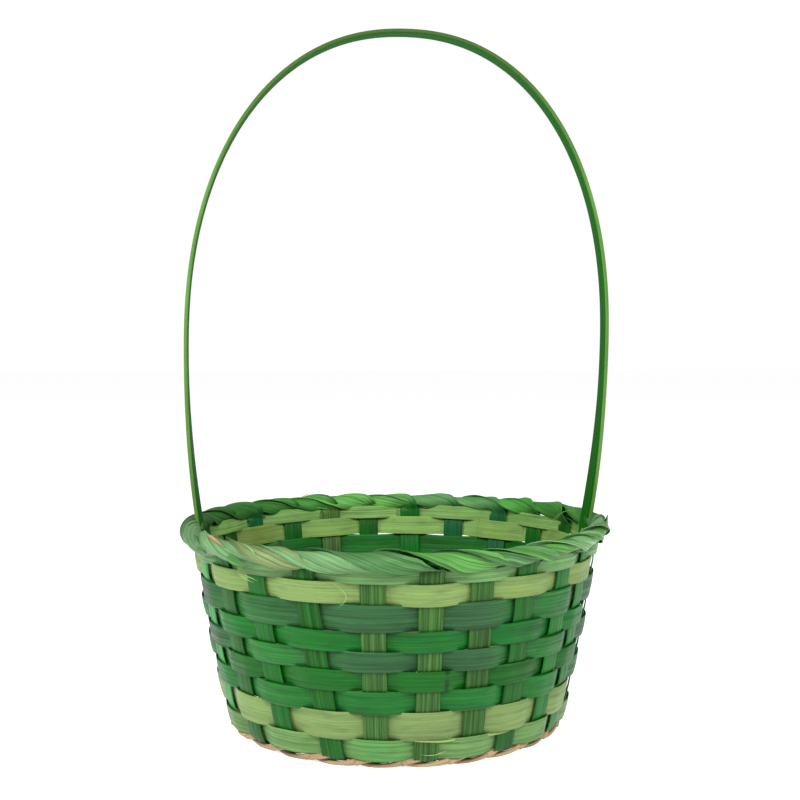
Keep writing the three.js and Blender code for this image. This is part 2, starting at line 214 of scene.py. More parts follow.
# How the place of a section point is worked out: result, operation and inputs. The two series stand for
# sin(bend) / curl and (1 - cos(bend)) / curl, and stay finite on a flat splint.
SECTION_STEPS = (
    ("cosine", "COSINE", "turn"),
    ("sine", "SINE", "turn"),
    ("half width", "MULTIPLY", "Width", 0.5),
    ("half width", "MULTIPLY", "half width", "breadth"),
    ("reach", "MULTIPLY", "cosine", "half width"),
    ("bend", "MULTIPLY", "reach", "curl"),
    ("bend squared", "MULTIPLY", "bend", "bend"),
    ("sine series", "MULTIPLY_ADD", "bend squared", 1 / 120, -1 / 6),
    ("sine series", "MULTIPLY_ADD", "bend squared", "sine series", 1.0),
    ("level across", "MULTIPLY", "reach", "sine series"),
    ("cosine series", "MULTIPLY_ADD", "bend squared", -1 / 24, 1 / 2),
    ("level outward", "MULTIPLY", "reach", "bend"),
    ("level outward", "MULTIPLY", "level outward", "cosine series"),
    ("half thickness", "MULTIPLY", "Thickness", 0.5),
    ("softened", "ABSOLUTE", "sine"),
    ("softened", "POWER", "softened", "Edge Softness"),
    ("face", "SIGN", "sine"),
    ("height", "MULTIPLY", "face", "softened"),
    ("height", "MULTIPLY", "height", "half thickness"),
    ("bend sine", "SINE", "bend"),
    ("bend cosine", "COSINE", "bend"),
    ("tilt across", "MULTIPLY", "height", "bend sine"),
    ("tilt outward", "MULTIPLY", "height", "bend cosine"),
    ("amount across", "SUBTRACT", "level across", "tilt across"),
    ("amount outward", "ADD", "level outward", "tilt outward"),
)


def splint_tree():
    """Geometry nodes that lay a splint along a path of edges.

    Each path point holds its surface normal, its direction across, its share of the width and its
    curl, which is the curvature across the splint. The section is a flat loop with soft edges.
    """
    tree = bpy.data.node_groups.new(SPLINT_TREE, "GeometryNodeTree")
    for name, kind in (
        ("Path", "Geometry"), ("Width", "Float"), ("Thickness", "Float"),
        ("Edge Softness", "Float"), ("Section Points", "Int"), ("Material", "Material"),
    ):
        tree.interface.new_socket(name, in_out="INPUT", socket_type=f"NodeSocket{kind}")
    tree.interface.new_socket("Splint", in_out="OUTPUT", socket_type="NodeSocketGeometry")
    given = add_node(tree, "NodeGroupInput").outputs
    known = {name: given[name] for name in ("Width", "Thickness", "Edge Softness")}
    for name in ("turn", "breadth", "curl", "centre", "across", "facing"):
        kind = "FLOAT_VECTOR" if name in ("centre", "across", "facing") else "FLOAT"
        known[name] = add_node(tree, "GeometryNodeInputNamedAttribute", [name], data_type=kind)

    path = add_node(tree, "GeometryNodeMeshToCurve", [given["Path"]])
    ring = add_node(tree, "GeometryNodeCurvePrimitiveCircle", {"Resolution": given["Section Points"]})
    share = add_node(tree, "GeometryNodeSplineParameter")
    turn = add_node(tree, "ShaderNodeMath", [share, math.tau], operation="MULTIPLY")
    ring = add_node(
        tree, "GeometryNodeStoreNamedAttribute",
        {"Geometry": ring, "Name": "turn", "Value": turn}, data_type="FLOAT", domain="POINT",
    )
    swept = add_node(
        tree, "GeometryNodeCurveToMesh", {"Curve": path, "Profile Curve": ring, "Fill Caps": True},
    )

    for name, operation, *sources in SECTION_STEPS:
        values = [known.get(source, source) for source in sources]
        known[name] = add_node(tree, "ShaderNodeMath", values, operation=operation)
    place = known["centre"]
    for direction, amount in (("across", "amount across"), ("facing", "amount outward")):
        part = add_node(
            tree, "ShaderNodeVectorMath", {0: known[direction], "Scale": known[amount]}, operation="SCALE",
        )
        place = add_node(tree, "ShaderNodeVectorMath", [place, part], operation="ADD")
    shaped = add_node(tree, "GeometryNodeSetPosition", {"Geometry": swept, "Position": place})
    for name, value in (("offset", known["reach"]), ("side", known["sine"])):
        shaped = add_node(
            tree, "GeometryNodeStoreNamedAttribute",
            {"Geometry": shaped, "Name": name, "Value": value}, data_type="FLOAT", domain="POINT",
        )
    smooth = add_node(tree, "GeometryNodeSetShadeSmooth", {"Geometry": shaped, "Shade Smooth": True})
    solid = add_node(tree, "GeometryNodeRealizeInstances", [smooth])
    finished = add_node(
        tree, "GeometryNodeSetMaterial", {"Geometry": solid, "Material": given["Material"]},
    )
    add_node(tree, "NodeGroupOutput", [finished])
    return tree


def set_inputs(modifier, values):
    """Sets a modifier's inputs by their sockets' identifiers."""
    for item in modifier.node_group.interface.items_tree:
        if item.item_type == "SOCKET" and item.in_out == "INPUT" and item.name in values:
            modifier[item.identifier] = values[item.name]


def plain_mesh(carrier, name):
    """The evaluated mesh of a carrier object, as a new object. The carrier is removed."""
    graph = bpy.context.evaluated_depsgraph_get()
    evaluated = carrier.evaluated_get(graph)
    mesh = bpy.data.meshes.new_from_object(evaluated, preserve_all_data_layers=True, depsgraph=graph)
    carrier.modifiers.clear()
    bpy.data.objects.remove(carrier)
    mesh.name = name
    for spare in ("centre", "facing", "across", "breadth", "curl", "turn"):
        if spare in mesh.attributes:
            mesh.attributes.remove(mesh.attributes[spare])
    if signed_volume(mesh) < 0:
        mesh.flip_normals()
    piece = bpy.data.objects.new(name, mesh)
    bpy.context.scene.collection.objects.link(piece)
    return piece


def signed_volume(mesh):
    """Volume inside a closed mesh, negative if its faces point inwards."""
    mesh.calc_loop_triangles()
    corners = np.zeros(len(mesh.vertices) * 3)
    mesh.vertices.foreach_get("co", corners)
    corners = corners.reshape(-1, 3)
    triangles = np.zeros(len(mesh.loop_triangles) * 3, np.int64)
    mesh.loop_triangles.foreach_get("vertices", triangles)
    a, b, c = (corners[triangles.reshape(-1, 3)[:, n]] for n in range(3))
    return float(np.einsum("ij,ij->i", a, np.cross(b, c)).sum() / 6)


def running_length(points):
    """Distance of each point of a line from its first, along the line."""
    return np.concatenate([[0.0], np.cumsum(np.linalg.norm(np.diff(points, axis=0), axis=1))])


def lay_splint(name, path, width, thickness, material, softness=0.35, section_points=20):
    """A splint along a path, which is a dict of arrays.

    It holds centre, facing and across, and may hold breadth, curl, tint (the share of the second dye)
    and scar (how much of a leaf node's scar there is).
    """
    centre = np.asarray(path["centre"], float)
    count = len(centre)
    mesh = bpy.data.meshes.new(name + "_path")
    mesh.from_pydata(centre.tolist(), [(n, n + 1) for n in range(count - 1)], [])
    columns = {
        "centre": centre,
        "facing": path["facing"],
        "across": path["across"],
        "breadth": path.get("breadth", np.ones(count)),
        "along": running_length(centre),
    }
    for key in ("curl", "tint", "scar"):
        columns[key] = path.get(key, np.zeros(count))
    for key, values in columns.items():
        values = np.asarray(values, np.float32)
        vector = values.ndim == 2
        attribute = mesh.attributes.new(key, "FLOAT_VECTOR" if vector else "FLOAT", "POINT")
        attribute.data.foreach_set("vector" if vector else "value", values.ravel())
    carrier = bpy.data.objects.new(name + "_path", mesh)
    bpy.context.scene.collection.objects.link(carrier)
    modifier = carrier.modifiers.new("Splint", "NODES")
    modifier.node_group = bpy.data.node_groups.get(SPLINT_TREE) or splint_tree()
    set_inputs(modifier, {
        "Width": width,
        "Thickness": thickness,
        "Edge Softness": softness,
        "Section Points": section_points,
        "Material": material,
    })
    return plain_mesh(carrier, name)


# ------------------------------------------------------------------ materials


# Grains of a splint: length and width in millimetres, what the seed gets added, and the noise's detail.
GRAINS = {
    "fine": (45, 0.5, 0.0, 1.0),
    "broad": (90, 1.1, 7.3, 1.0),
    "blotch": (16, 4.0, 3.1, 3.0),
    "slow": (60, 14, 5.9, 1.0),
}
# Streaks: a grain, the values of it between which the streak sets in, the change of brightness, and
# whether that is scaled by how stripy the piece is.
STREAKS = (
    ("slow", 0.5, 0.7, -0.22, False),
    ("blotch", 0.52, 0.75, -0.26, False),
    ("broad", 0.5, 0.66, -0.4, True),
    ("broad", 0.5, 0.36, 0.4, True),
    ("fine", 0.52, 0.68, 0.45, True),
    ("fine", 0.48, 0.34, -0.42, True),
)
# The same for a leaf node's scar, ending with the brightness that is left.
SCAR = (0.3, 0.5, 0.35)
# How much smoother and rougher than its mean a splint's surface gets from streak to streak.
SMOOTHER, ROUGHER = 0.08, 0.1
# Depth of a splint's ridges, and the share that its finest grain has in them.
RIDGE_DEPTH = 0.3 * MM
FINE_RIDGES = 0.7
# The grains of the handle's faces and of its cut edges, and where from its middle an edge begins.
FACE_GRAIN = (160, 1.8, 5.0)
EDGE_GRAIN = (60, 0.9, 2.0)
EDGE_START, EDGE_FULL = 6.3 * MM, 6.7 * MM
# Half the distance between the handle's faces in its grain, which keeps them from looking alike.
SIDE_REACH = 2.5 * MM


def fibre_noise(tree, along, offset, along_mm, across_mm, seed, detail=2.0):
    """Noise stretched along a splint: one grain is along_mm long and across_mm wide."""
    length = add_node(tree, "ShaderNodeMath", [along, 1 / (along_mm * MM)], operation="MULTIPLY")
    breadth = add_node(tree, "ShaderNodeMath", [offset, 1 / (across_mm * MM)], operation="MULTIPLY")
    place = add_node(tree, "ShaderNodeCombineXYZ", [length, breadth, seed])
    return add_node(
        tree, "ShaderNodeTexNoise",
        {"Vector": place, "Scale": 1.0, "Detail": detail, "Roughness": 0.6},
    )


def shaded(colour, gain):
    """A lighter or darker version of a linear colour."""
    return tuple(min(1.0, gain * channel) for channel in colour[:3]) + (1.0,)


def brightened(tree, light, noise, low, high, gain):
    """A brightness, multiplied by up to a gain where a noise goes from low to high."""
    change = add_node(tree, "ShaderNodeMapRange", {
        "Value": noise, "From Min": low, "From Max": high, "To Min": 1.0, "To Max": gain,
    })
    return add_node(tree, "ShaderNodeMath", [light, change], operation="MULTIPLY")


def new_tree(name):
    """A new material with an empty node tree."""
    material = bpy.data.materials.new(name)
    material.use_nodes = True
    material.node_tree.nodes.clear()
    return material, material.node_tree


def splint_material(name, outer, inner, second, seed, stripes=0.5, roughness=0.46):
    """Dyed wood splint, knife-cut along the grain: lengthwise fibres take the dye unevenly, which gives
    fine light and dark streaks, blotches where dye pooled, and a dull satin sheen. The finest fibres are
    drawn about half a millimetre wide, so that they show."""
    material, tree = new_tree(name)
    along, offset, side, tint, scar = (
        add_node(tree, "ShaderNodeAttribute", attribute_name=name).outputs["Fac"]
        for name in ("along", "offset", "side", "tint", "scar")
    )
    grains = {
        key: fibre_noise(tree, along, offset, length, width, seed + shift, detail)
        for key, (length, width, shift, detail) in GRAINS.items()
    }
    outer_share = add_node(tree, "ShaderNodeMapRange", {"Value": side, "From Min": -0.1, "From Max": 0.1})
    face = add_node(tree, "ShaderNodeMix", {0: outer_share, 6: inner, 7: outer}, data_type="RGBA")
    body = add_node(tree, "ShaderNodeMix", {0: tint, 6: face.outputs[2], 7: second}, data_type="RGBA")
    light = 1.0
    for key, low, high, change, striped in STREAKS:
        light = brightened(tree, light, grains[key], low, high, 1 + change * (stripes if striped else 1))
    marked = add_node(tree, "ShaderNodeMath", [scar, grains["blotch"]], operation="MULTIPLY")
    light = brightened(tree, light, marked, *SCAR)
    body = add_node(tree, "ShaderNodeVectorMath", {0: body.outputs[2], "Scale": light}, operation="SCALE")
    gloss = add_node(tree, "ShaderNodeMapRange", {
        "Value": grains["broad"], "From Min": 0.3, "From Max": 0.7,
        "To Min": roughness - SMOOTHER, "To Max": roughness + ROUGHER,
    })
    ridges = add_node(
        tree, "ShaderNodeMath", [grains["fine"], FINE_RIDGES, grains["broad"]], operation="MULTIPLY_ADD",
    )
    bump = add_node(tree, "ShaderNodeBump", {"Strength": 0.8, "Distance": RIDGE_DEPTH, "Height": ridges})
    shader = add_node(tree, "ShaderNodeBsdfPrincipled", {
        "Base Color": body, "Roughness": gloss, "Normal": bump, "IOR": 1.5, "Specular IOR Level": 0.15,
    })
    add_node(tree, "ShaderNodeOutputMaterial", [shader])
    return material


def natural_material(name, colours, seed):
    """Undyed split bamboo: straw to tan, with darker lengthwise vessels and a faint gloss."""
    natural, dark = tuple(colours.natural), tuple(colours.natural_dark)
    return splint_material(name, natural, natural, dark, seed, stripes=0.3, roughness=0.5)


def handle_material(colours):
    """Dyed split bamboo strip: dense dark green skin faces, and cut edges where the pale green fibre
    shows. The edges are darker at the crown, which is why tint grows there."""
    material, tree = new_tree("Dyed split bamboo strip")
    along, offset, side, tint = (
        add_node(tree, "ShaderNodeAttribute", attribute_name=name).outputs["Fac"]
        for name in ("along", "offset", "side", "tint")
    )
    across = add_node(tree, "ShaderNodeMath", [side, SIDE_REACH, offset], operation="MULTIPLY_ADD")
    fine = fibre_noise(tree, along, across, *EDGE_GRAIN)
    broad = fibre_noise(tree, along, across, *FACE_GRAIN)
    from_middle = add_node(tree, "ShaderNodeMath", [offset], operation="ABSOLUTE")
    cut_share = add_node(tree, "ShaderNodeMapRange", {
        "Value": from_middle, "From Min": EDGE_START, "From Max": EDGE_FULL,
    })
    face, edge = colours.handle_face, colours.handle_edge
    cut = add_node(tree, "ShaderNodeMix", {0: tint, 6: edge, 7: shaded(edge, 0.42)}, data_type="RGBA")
    streak_share = add_node(tree, "ShaderNodeMapRange", {
        "Value": broad, "From Min": 0.4, "From Max": 0.65, "To Min": 0.0, "To Max": 0.8,
    })
    fibre_share = add_node(tree, "ShaderNodeMapRange", {
        "Value": fine, "From Min": 0.42, "From Max": 0.7, "To Min": 0.0, "To Max": 0.7,
    })
    skin = add_node(
        tree, "ShaderNodeMix", {0: streak_share, 6: face, 7: shaded(face, 0.5)}, data_type="RGBA",
    )
    fibres = add_node(
        tree, "ShaderNodeMix", {0: fibre_share, 6: cut.outputs[2], 7: shaded(edge, 0.5)}, data_type="RGBA",
    )
    body = add_node(
        tree, "ShaderNodeMix", {0: cut_share, 6: skin.outputs[2], 7: fibres.outputs[2]}, data_type="RGBA",
    )
    bump = add_node(tree, "ShaderNodeBump", {"Strength": 0.5, "Distance": 0.2 * MM, "Height": fine})
    shader = add_node(tree, "ShaderNodeBsdfPrincipled", {
        "Base Color": body.outputs[2], "Roughness": 0.6, "Normal": bump,
        "IOR": 1.5, "Specular IOR Level": 0.05,
    })
    add_node(tree, "ShaderNodeOutputMaterial", [shader])
    return material


# ------------------------------------------------------------------ the weave's rules


def wall_radius(z):
    """Centreline radius of the wall at a height."""
    return np.polyval(WALL, z)


def wall_slope(z):
    """Rate at which the wall's radius grows with height."""
    return np.polyval(np.polyder(WALL), z)


def stake_angle(stake, z):
    """Direction in which a stake stands, with its own shift and lean."""
    even = math.tau * stake / STAKES
    middle = (WALL_TOP + WALL_FOOT) / 2
    lean = STAKE_LEAN.get(stake % STAKES, 0.0) * (z - middle) / LEAN_SPAN
    return even + np.radians(STAKE_SHIFT[stake % STAKES] + lean)


def angles_between(position, height):
    """Directions of places given as stake numbers, spread evenly from each stake to the next."""
    angles = np.empty(len(position))
    for n, place in enumerate(position):
        stake = math.floor(place)
        before = stake_angle(stake, height)
        angles[n] = before + (stake_angle(stake + 1, height) - before) * (place - stake)
    return angles


def passes_inside(row, stake):
    """A weaver goes inside a stake when their numbers differ in parity, rows counted from the top."""
    return (row + stake) % 2 == 1


def eased(low, high, share, hold=0.0):
    """A smooth step from low to high as share goes from 0 to 1. It holds still for a share at each end."""
    moved = np.clip((share - hold) / (1 - 2 * hold), 0, 1)
    return low + (high - low) * (1 - np.cos(np.pi * moved)) / 2


def smooth_step(share):
    """A share of 0 to 1, made level at both ends."""
    share = np.clip(share, 0, 1)
    return share * share * (3 - 2 * share)


def polar(radius, angle, z):
    """Points in the frame from radius, angle and height."""
    radius, angle, z = np.broadcast_arrays(radius, angle, z)
    return np.stack([radius * np.cos(angle), radius * np.sin(angle), z], axis=-1)


def turned(first, second, angle):
    """Two square directions at each point, turned by an angle, the first towards the second."""
    cosine, sine = np.cos(angle)[:, None], np.sin(angle)[:, None]
    return cosine * first + sine * second, cosine * second - sine * first


def cubic(start, start_pull, end_pull, end, share):
    """Points of a cubic curve from start to end, at shares of the way."""
    t = share[:, None]
    s = 1 - t
    return start * s ** 3 + 3 * start_pull * t * s ** 2 + 3 * end_pull * t ** 2 * s + end * t ** 3


# Periods, as shares of the longest, and heights of the three waves of a wobble.
WOBBLE_PERIODS = (1, 0.57, 0.31)
WOBBLE_HEIGHTS = (1, 0.6, 0.35)


def smooth_noise(values, seed, period):
    """A gentle wobble between -1 and 1 along an array of positions."""
    draw = random.Random(seed)
    total = np.zeros(len(values))
    for share, height in zip(WOBBLE_PERIODS, WOBBLE_HEIGHTS):
        total += height * np.sin(values * math.tau / (period * share) + draw.uniform(0, math.tau))
    return total / sum(WOBBLE_HEIGHTS)


def finish_piece(piece, slot, *nodes):
    """Puts a piece on the basket's body, in place of its frame nodes if it has any."""
    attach(piece, BODY)
    if nodes:
        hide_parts(*nodes)


# ------------------------------------------------------------------ weavers


# Dyes of each weaver's outer face, inner face and second shade, counted from the top.
WEAVER_DYES = {
    1: ("top_green", "inner_lime", "soft_green"),
    2: ("lime", "inner_lime", "olive_lime"),
    3: ("grey_green", "deep_green", "mid_green"),
    4: ("bright_green", "deep_green", "fresh_green"),
    5: ("moss", "moss", "mid_green"),
    6: ("deep_green", "deep_green", "leaf"),
    7: ("bright_green", "leaf", "mid_green"),
    8: ("lime", "light_green", "light_green"),
    9: ("light_green", "light_green", "pale_green"),
}
# How stripy the weavers are, and those that differ.
USUAL_STRIPES = 0.45
WEAVER_STRIPES = {2: 0.25, 8: 0.22, 3: 0.55, 5: 0.55}
# How much of its second shade a weaver has at a stake. Between two stakes it changes evenly.
WEAVER_TINTS = {
    1: {15: 0.0, 16: 0.2, 17: 0.1, 18: 0.0, 19: 0.1, 20: 0.3},
    2: {
        4: 0.1, 5: 0.1, 9: 0.9, 10: 0.9, 13: 0.1, 14: 0.0, 15: 0.0, 16: 0.0, 17: 0.0,
        18: 0.0, 19: 0.0, 20: 0.2, 21: 0.2,
    },
    3: {14: 1.0, 15: 0.6, 19: 0.2, 20: 0.7, 21: 0.8},
    4: {15: 0.8, 16: 0.7, 21: 0.5},
    5: {14: 0.8, 15: 1.0, 16: 0.5, 20: 0.8, 21: 0.8},
    6: {14: 1.0, 15: 1.0, 16: 0.2, 17: 0.0, 19: 0.4, 20: 1.0, 21: 1.0},
    7: {15: 0.8, 16: 0.4, 19: 0.3, 21: 0.8},
    8: {14: 0.0, 18: 0.5, 19: 0.6},
    9: {17: 0.6, 18: 0.3, 19: 0.3},
}
# A stake's share of the second shade where the table has none.
USUAL_TINT = 0.3
# Stake number at which a weaver has the dark scar of a leaf node.
NODE_SCARS = {3: 8.4, 6: 18.35, 9: 1.3}
# Share of a space, on each side of a stake, over which a weaver keeps its depth.
WAVE_HOLD = 0.17
# How much further than the others a row swings.
ROW_SWING = {9: 1.1}
# Where each weaver's lapped ends lie, as a stake number, and how far an outer end has slipped down.
JOINT_STAKE = (6, 3, 9, 1, 11, 7, 2, 10, 8)
LAP_DROP = {8: -1.0 * MM}
# Stake at which a weaver sags, and by how much. Below nothing, it bulges up.
ROW_DIPS = {2: (18, 1.4 * MM), 7: (15.5, 0.7 * MM), 4: (20, -0.6 * MM)}
# How much wider than its row a weaver is, and those that differ.
SPARE = 0.8 * MM
ROW_SPARE = {1: 0.7 * MM, 2: 0.4 * MM, 3: 0.3 * MM, 9: 1.4 * MM}
WEAVER_POINTS = 560
# Length of the lapped ends in spaces between stakes, how far each lies out of the weaver's line as a share
# of the thickness, and over how many path points that sets in.
LAP = 1.35
LAP_OFFSET = 0.7
LAP_BLEND = 13
# Reach of a sag and of a scar, in spaces between stakes.
DIP_REACH = 0.8
SCAR_REACH = 0.09
# How far a weaver wanders up and down and out and in, how far it rocks, and how much its width varies.
WEAVER_RISE = 0.35 * MM
WEAVER_RIPPLE = 0.25 * MM
WEAVER_ROCK = math.radians(2)
WIDTH_CHANGE = 0.025
# Radius to which a weaver is bent across, with its edges lying inwards.
WEAVER_ROUND = 90 * MM
# Extra depth of a weaver where it passes inside a handle leg, half the angle that the leg takes up, the
# angle over which the depth fades out, and how far under the leg's end it is still needed.
LEG_ROOM = 2.7 * MM
LEG_HALF_ANGLE = math.radians(4.5)
LEG_FADE = math.radians(6)
LEG_MARGIN = 4 * MM


def leg_room(angles, z):
    """Extra depth that a weaver needs where it passes inside a handle leg."""
    if z < HANDLE_LOW.z - LEG_MARGIN:
        return np.zeros(len(angles))
    nearest = np.abs((angles + math.pi / 2) % math.pi - math.pi / 2)
    return LEG_ROOM * np.clip(1 - (nearest - LEG_HALF_ANGLE) / LEG_FADE, 0, 1)


def swings_between(row, position):
    """1 where a weaver lies outside a stake, -1 where it lies inside, and smooth steps between."""
    swing = np.empty(len(position))
    for n, place in enumerate(position):
        stake = math.floor(place)
        before, after = (-1 if passes_inside(row, number % STAKES) else 1 for number in (stake, stake + 1))
        swing[n] = eased(before, after, place - stake, WAVE_HOLD)
    return swing


def lapped_ends(position, start, thickness):
    """How far a weaver's ends lie out of its line, and how far along the outer one each point is."""
    over = np.clip(1 - (start + STAKES + LAP / 2 - position) / LAP, 0, 1)
    under = np.clip(1 - (position - (start - LAP / 2)) / LAP, 0, 1)
    layer = LAP_OFFSET * thickness * (np.sign(over) - np.sign(under))
    padded = np.pad(layer, LAP_BLEND // 2, mode="edge")
    return np.convolve(padded, np.ones(LAP_BLEND) / LAP_BLEND, mode="valid"), over


def weaver_path(row, sizes):
    """Path of a weaver: once round the basket with lapped ends, out and in between the stakes."""
    middle = ROW_MIDDLES[row - 1]
    start = JOINT_STAKE[row - 1]
    position = np.linspace(start - LAP / 2, start + STAKES + LAP / 2, WEAVER_POINTS)
    round_place = position % STAKES
    angles = angles_between(position, middle)
    swing = swings_between(row, position)
    draw = random.Random(40 + row)
    rise, ripple, rock, spread = (
        smooth_noise(position, draw.random(), period) for period in (7.0, 2.3, 3.1, 5.0)
    )
    layer, over = lapped_ends(position, start, sizes.weaver_thickness)
    wave = sizes.weaver_wave * ROW_SWING.get(row, 1.0)
    depth = np.where(swing > 0, wave, wave + leg_room(angles, middle))
    z = middle + WEAVER_RISE * rise + LAP_DROP.get(row, 0.0) * np.clip(over * 3, 0, 1)
    if row in ROW_DIPS:
        stake, drop = ROW_DIPS[row]
        z = z - drop * np.exp(-((round_place - stake) / DIP_REACH) ** 2)
    radius = wall_radius(z) + swing * depth + layer + WEAVER_RIPPLE * ripple
    slope = wall_slope(middle)
    norm = math.hypot(1, slope)
    up = polar(slope / norm, angles, 1 / norm)
    outward = polar(1 / norm, angles, -slope / norm)
    across, facing = turned(up, outward, WEAVER_ROCK * rock)
    shares = [WEAVER_TINTS[row].get(stake, USUAL_TINT) for stake in range(STAKES)]
    return {
        "centre": polar(radius, angles, z),
        "facing": facing,
        "across": across,
        "breadth": 1 + WIDTH_CHANGE * spread,
        "curl": np.full(len(position), -1 / WEAVER_ROUND),
        "tint": np.interp(round_place, range(STAKES + 1), shares + shares[:1]),
        "scar": np.exp(-((round_place - NODE_SCARS.get(row, -9.0)) / SCAR_REACH) ** 2),
    }


class BASKET_OT_weavers(bpy.types.Operator):
    """Weaves the nine horizontal splints, each with lapped ends"""

    bl_idname = "basket.weavers"
    bl_label = "Weavers"

    def execute(self, context):
        sizes, colours = context.scene.basket_sizes, context.scene.basket_colours
        for row in range(1, ROWS + 1):
            name = f"weaver_{row:02d}"
            dyes = [tuple(getattr(colours, dye)) for dye in WEAVER_DYES[row]]
            stripes = WEAVER_STRIPES.get(row, USUAL_STRIPES)
            material = splint_material(f"Dyed wood splint, row {row}", *dyes, 11.0 * row, stripes)
            width = ROW_WIDTHS[row - 1] * math.hypot(1, wall_slope(ROW_MIDDLES[row - 1]))
            width += ROW_SPARE.get(row, SPARE)
            path = weaver_path(row, sizes)
            piece = lay_splint(f"{name}_splint", path, width, sizes.weaver_thickness, material)
            finish_piece(piece, "dyed_weaver", name)
        return {"FINISHED"}


# ------------------------------------------------------------------ stakes and the rolled rim


# The roll starts on the core's inner side and goes up and over it. Angles are counted from its outer side.
ROLL_START = math.radians(190)
ROLL_SWEEP = math.radians(292)
# The last part of the roll is tucked in: where that starts, over what angle, and by how much.
TUCK_START = math.radians(240)
TUCK_SPAN = math.radians(50)
TUCK_SHARE = 0.12
# Angle between the bands and the rim, radius of the turn into them, and how far under the wall's top it
# starts.
HELIX_ANGLE = math.radians(21)
TURN_RADIUS = 8 * MM
TURN_LEAD = 1.0 * MM
# How far in from the wall the bend over a foot starts, and the height on the wall at which it ends.
FOOT_BEND = 2.6 * MM
BEND_TOP = 2 * MM
# Radius to which a stake is bent across in the wall, and the length over which its end narrows to a share.
STAKE_ROUND = 113 * MM
END_TAPER = 14 * MM
END_SHARE = 0.45
# Half the stretch of a section over which its direction is taken.
TANGENT_STEP = 0.2 * MM
# Height over the wall's foot at which a stake's wave is whole.
WAVE_START = 6 * MM
# Limits between which each stake's roll radius, roll height in millimetres, band width and band curl are
# drawn. The others are shares of what is even.
RADIUS_LIMITS = (0.95, 1.06)
LIFT_LIMITS = (-0.3, 0.3)
BAND_LIMITS = (0.94, 1.08)
CURL_LIMITS = (0.4, 0.7)
# How far a band wanders along the section and how much a stake's width varies, and over what lengths.
BAND_WANDER, WANDER_LENGTH = 0.5 * MM, 40 * MM
STAKE_VARIATION, VARIATION_LENGTH = 0.03, 60 * MM

# Directions in degrees, how full the roll is there and how much higher it sits, in millimetres.
RIM_DIRECTIONS = (0, 45, 90, 135, 180, 215, 240, 262, 292, 325, 360)
RIM_FULLNESS = (0.9, 0.66, 0.62, 0.64, 0.92, 0.8, 0.8, 0.92, 0.66, 0.6, 0.9)
RIM_LIFT = (2.2, 0.3, -0.7, -0.3, 0.1, 0.1, 0.2, 0.2, 0.3, 1.6, 2.2)


def rim_place(r, z, angle, share):
    """A point of the even roll, moved to where the uneven roll is in that direction."""
    degrees = np.degrees(angle) % 360
    full = 1 + share * (np.interp(degrees, RIM_DIRECTIONS, RIM_FULLNESS) - 1)
    lift = share * np.interp(degrees, RIM_DIRECTIONS, RIM_LIFT) * MM
    return ROLL_R + (r - ROLL_R) * full, ROLL_Z + (z - ROLL_Z) * full + lift


def section_curve(roll_radius, roll_lift):
    """Dense polyline of a stake's section as (radius, height): foot, bend, wall, neck and roll.

    The number of points up to the end of the wall comes with it.
    """
    foot_radius = wall_radius(WALL_FOOT)
    foot = np.linspace([STAKE_LOW.y, FOOT_LEVEL], [foot_radius - FOOT_BEND, FOOT_LEVEL], 20)
    corner = np.array([foot_radius - FOOT_BEND * wall_slope(WALL_FOOT), FOOT_LEVEL])
    bend_end = WALL_FOOT + BEND_TOP
    top_of_bend = np.array([wall_radius(bend_end), bend_end])
    t = np.linspace(0, 1, 16)[1:, None]
    bend = foot[-1] * (1 - t) ** 2 + 2 * corner * t * (1 - t) + top_of_bend * t ** 2
    heights = np.linspace(bend_end, WALL_TOP, 120)[1:]
    wall = np.stack([wall_radius(heights), heights], axis=1)
    gone = np.linspace(0, ROLL_SWEEP, 160)
    psi = ROLL_START - gone
    tuck = 1 - TUCK_SHARE * np.clip((gone - TUCK_START) / TUCK_SPAN, 0, 1)
    around = (roll_radius * tuck)[:, None] * np.stack([np.cos(psi), np.sin(psi)], axis=1)
    roll = np.array([ROLL_R, ROLL_Z + roll_lift]) + around
    up = np.array([wall_slope(WALL_TOP), 1.0])
    into = np.array([math.sin(ROLL_START), -math.cos(ROLL_START)])
    reach = np.linalg.norm(roll[0] - wall[-1]) / 3
    share = np.linspace(0, 1, 16)[1:-1]
    neck = cubic(wall[-1], wall[-1] + up * reach, roll[0] - into * reach, roll[0], share)
    return np.concatenate([foot, bend, wall, neck, roll]), len(foot) + len(bend) + len(wall)


def helix_course(turn_start, section_length):
    """The course of a stake that goes straight up its section, then turns aside into the helix.

    At distances along the stake, this gives the lean from upright, the way round the rim, the way along
    the section and the share of the roll in the shape.
    """
    turn_angle = math.pi / 2 - HELIX_ANGLE
    turn_length = TURN_RADIUS * turn_angle
    helix_rise = section_length - (turn_start + TURN_RADIUS * math.sin(turn_angle))
    total = turn_start + turn_length + helix_rise / math.sin(HELIX_ANGLE)
    distance = np.concatenate([np.linspace(0, turn_start, 90), np.linspace(turn_start, total, 110)[1:]])
    lean = np.clip(distance - turn_start, 0, turn_length) / TURN_RADIUS
    straight = np.clip(distance - turn_start - turn_length, 0, None)
    side = TURN_RADIUS * (1 - np.cos(lean)) + straight * np.sin(lean)
    rise = np.minimum(distance, turn_start) + TURN_RADIUS * np.sin(lean) + straight * np.cos(lean)
    return distance, lean, side, rise, smooth_step((distance - turn_start) / (turn_length * 1.2))


def section_frame(section, lengths, rise):
    """Place, tangent and normal at distances along a section, each as (radius, height)."""
    def at(distance):
        """The section's places at distances along it."""
        distance = np.clip(distance, 0, lengths[-1])
        return np.stack([np.interp(distance, lengths, column) for column in section.T], axis=1)

    tangent = at(rise + TANGENT_STEP) - at(rise - TANGENT_STEP)
    tangent /= np.linalg.norm(tangent, axis=1)[:, None]
    return at(rise), tangent, np.stack([tangent[:, 1], -tangent[:, 0]], axis=1)


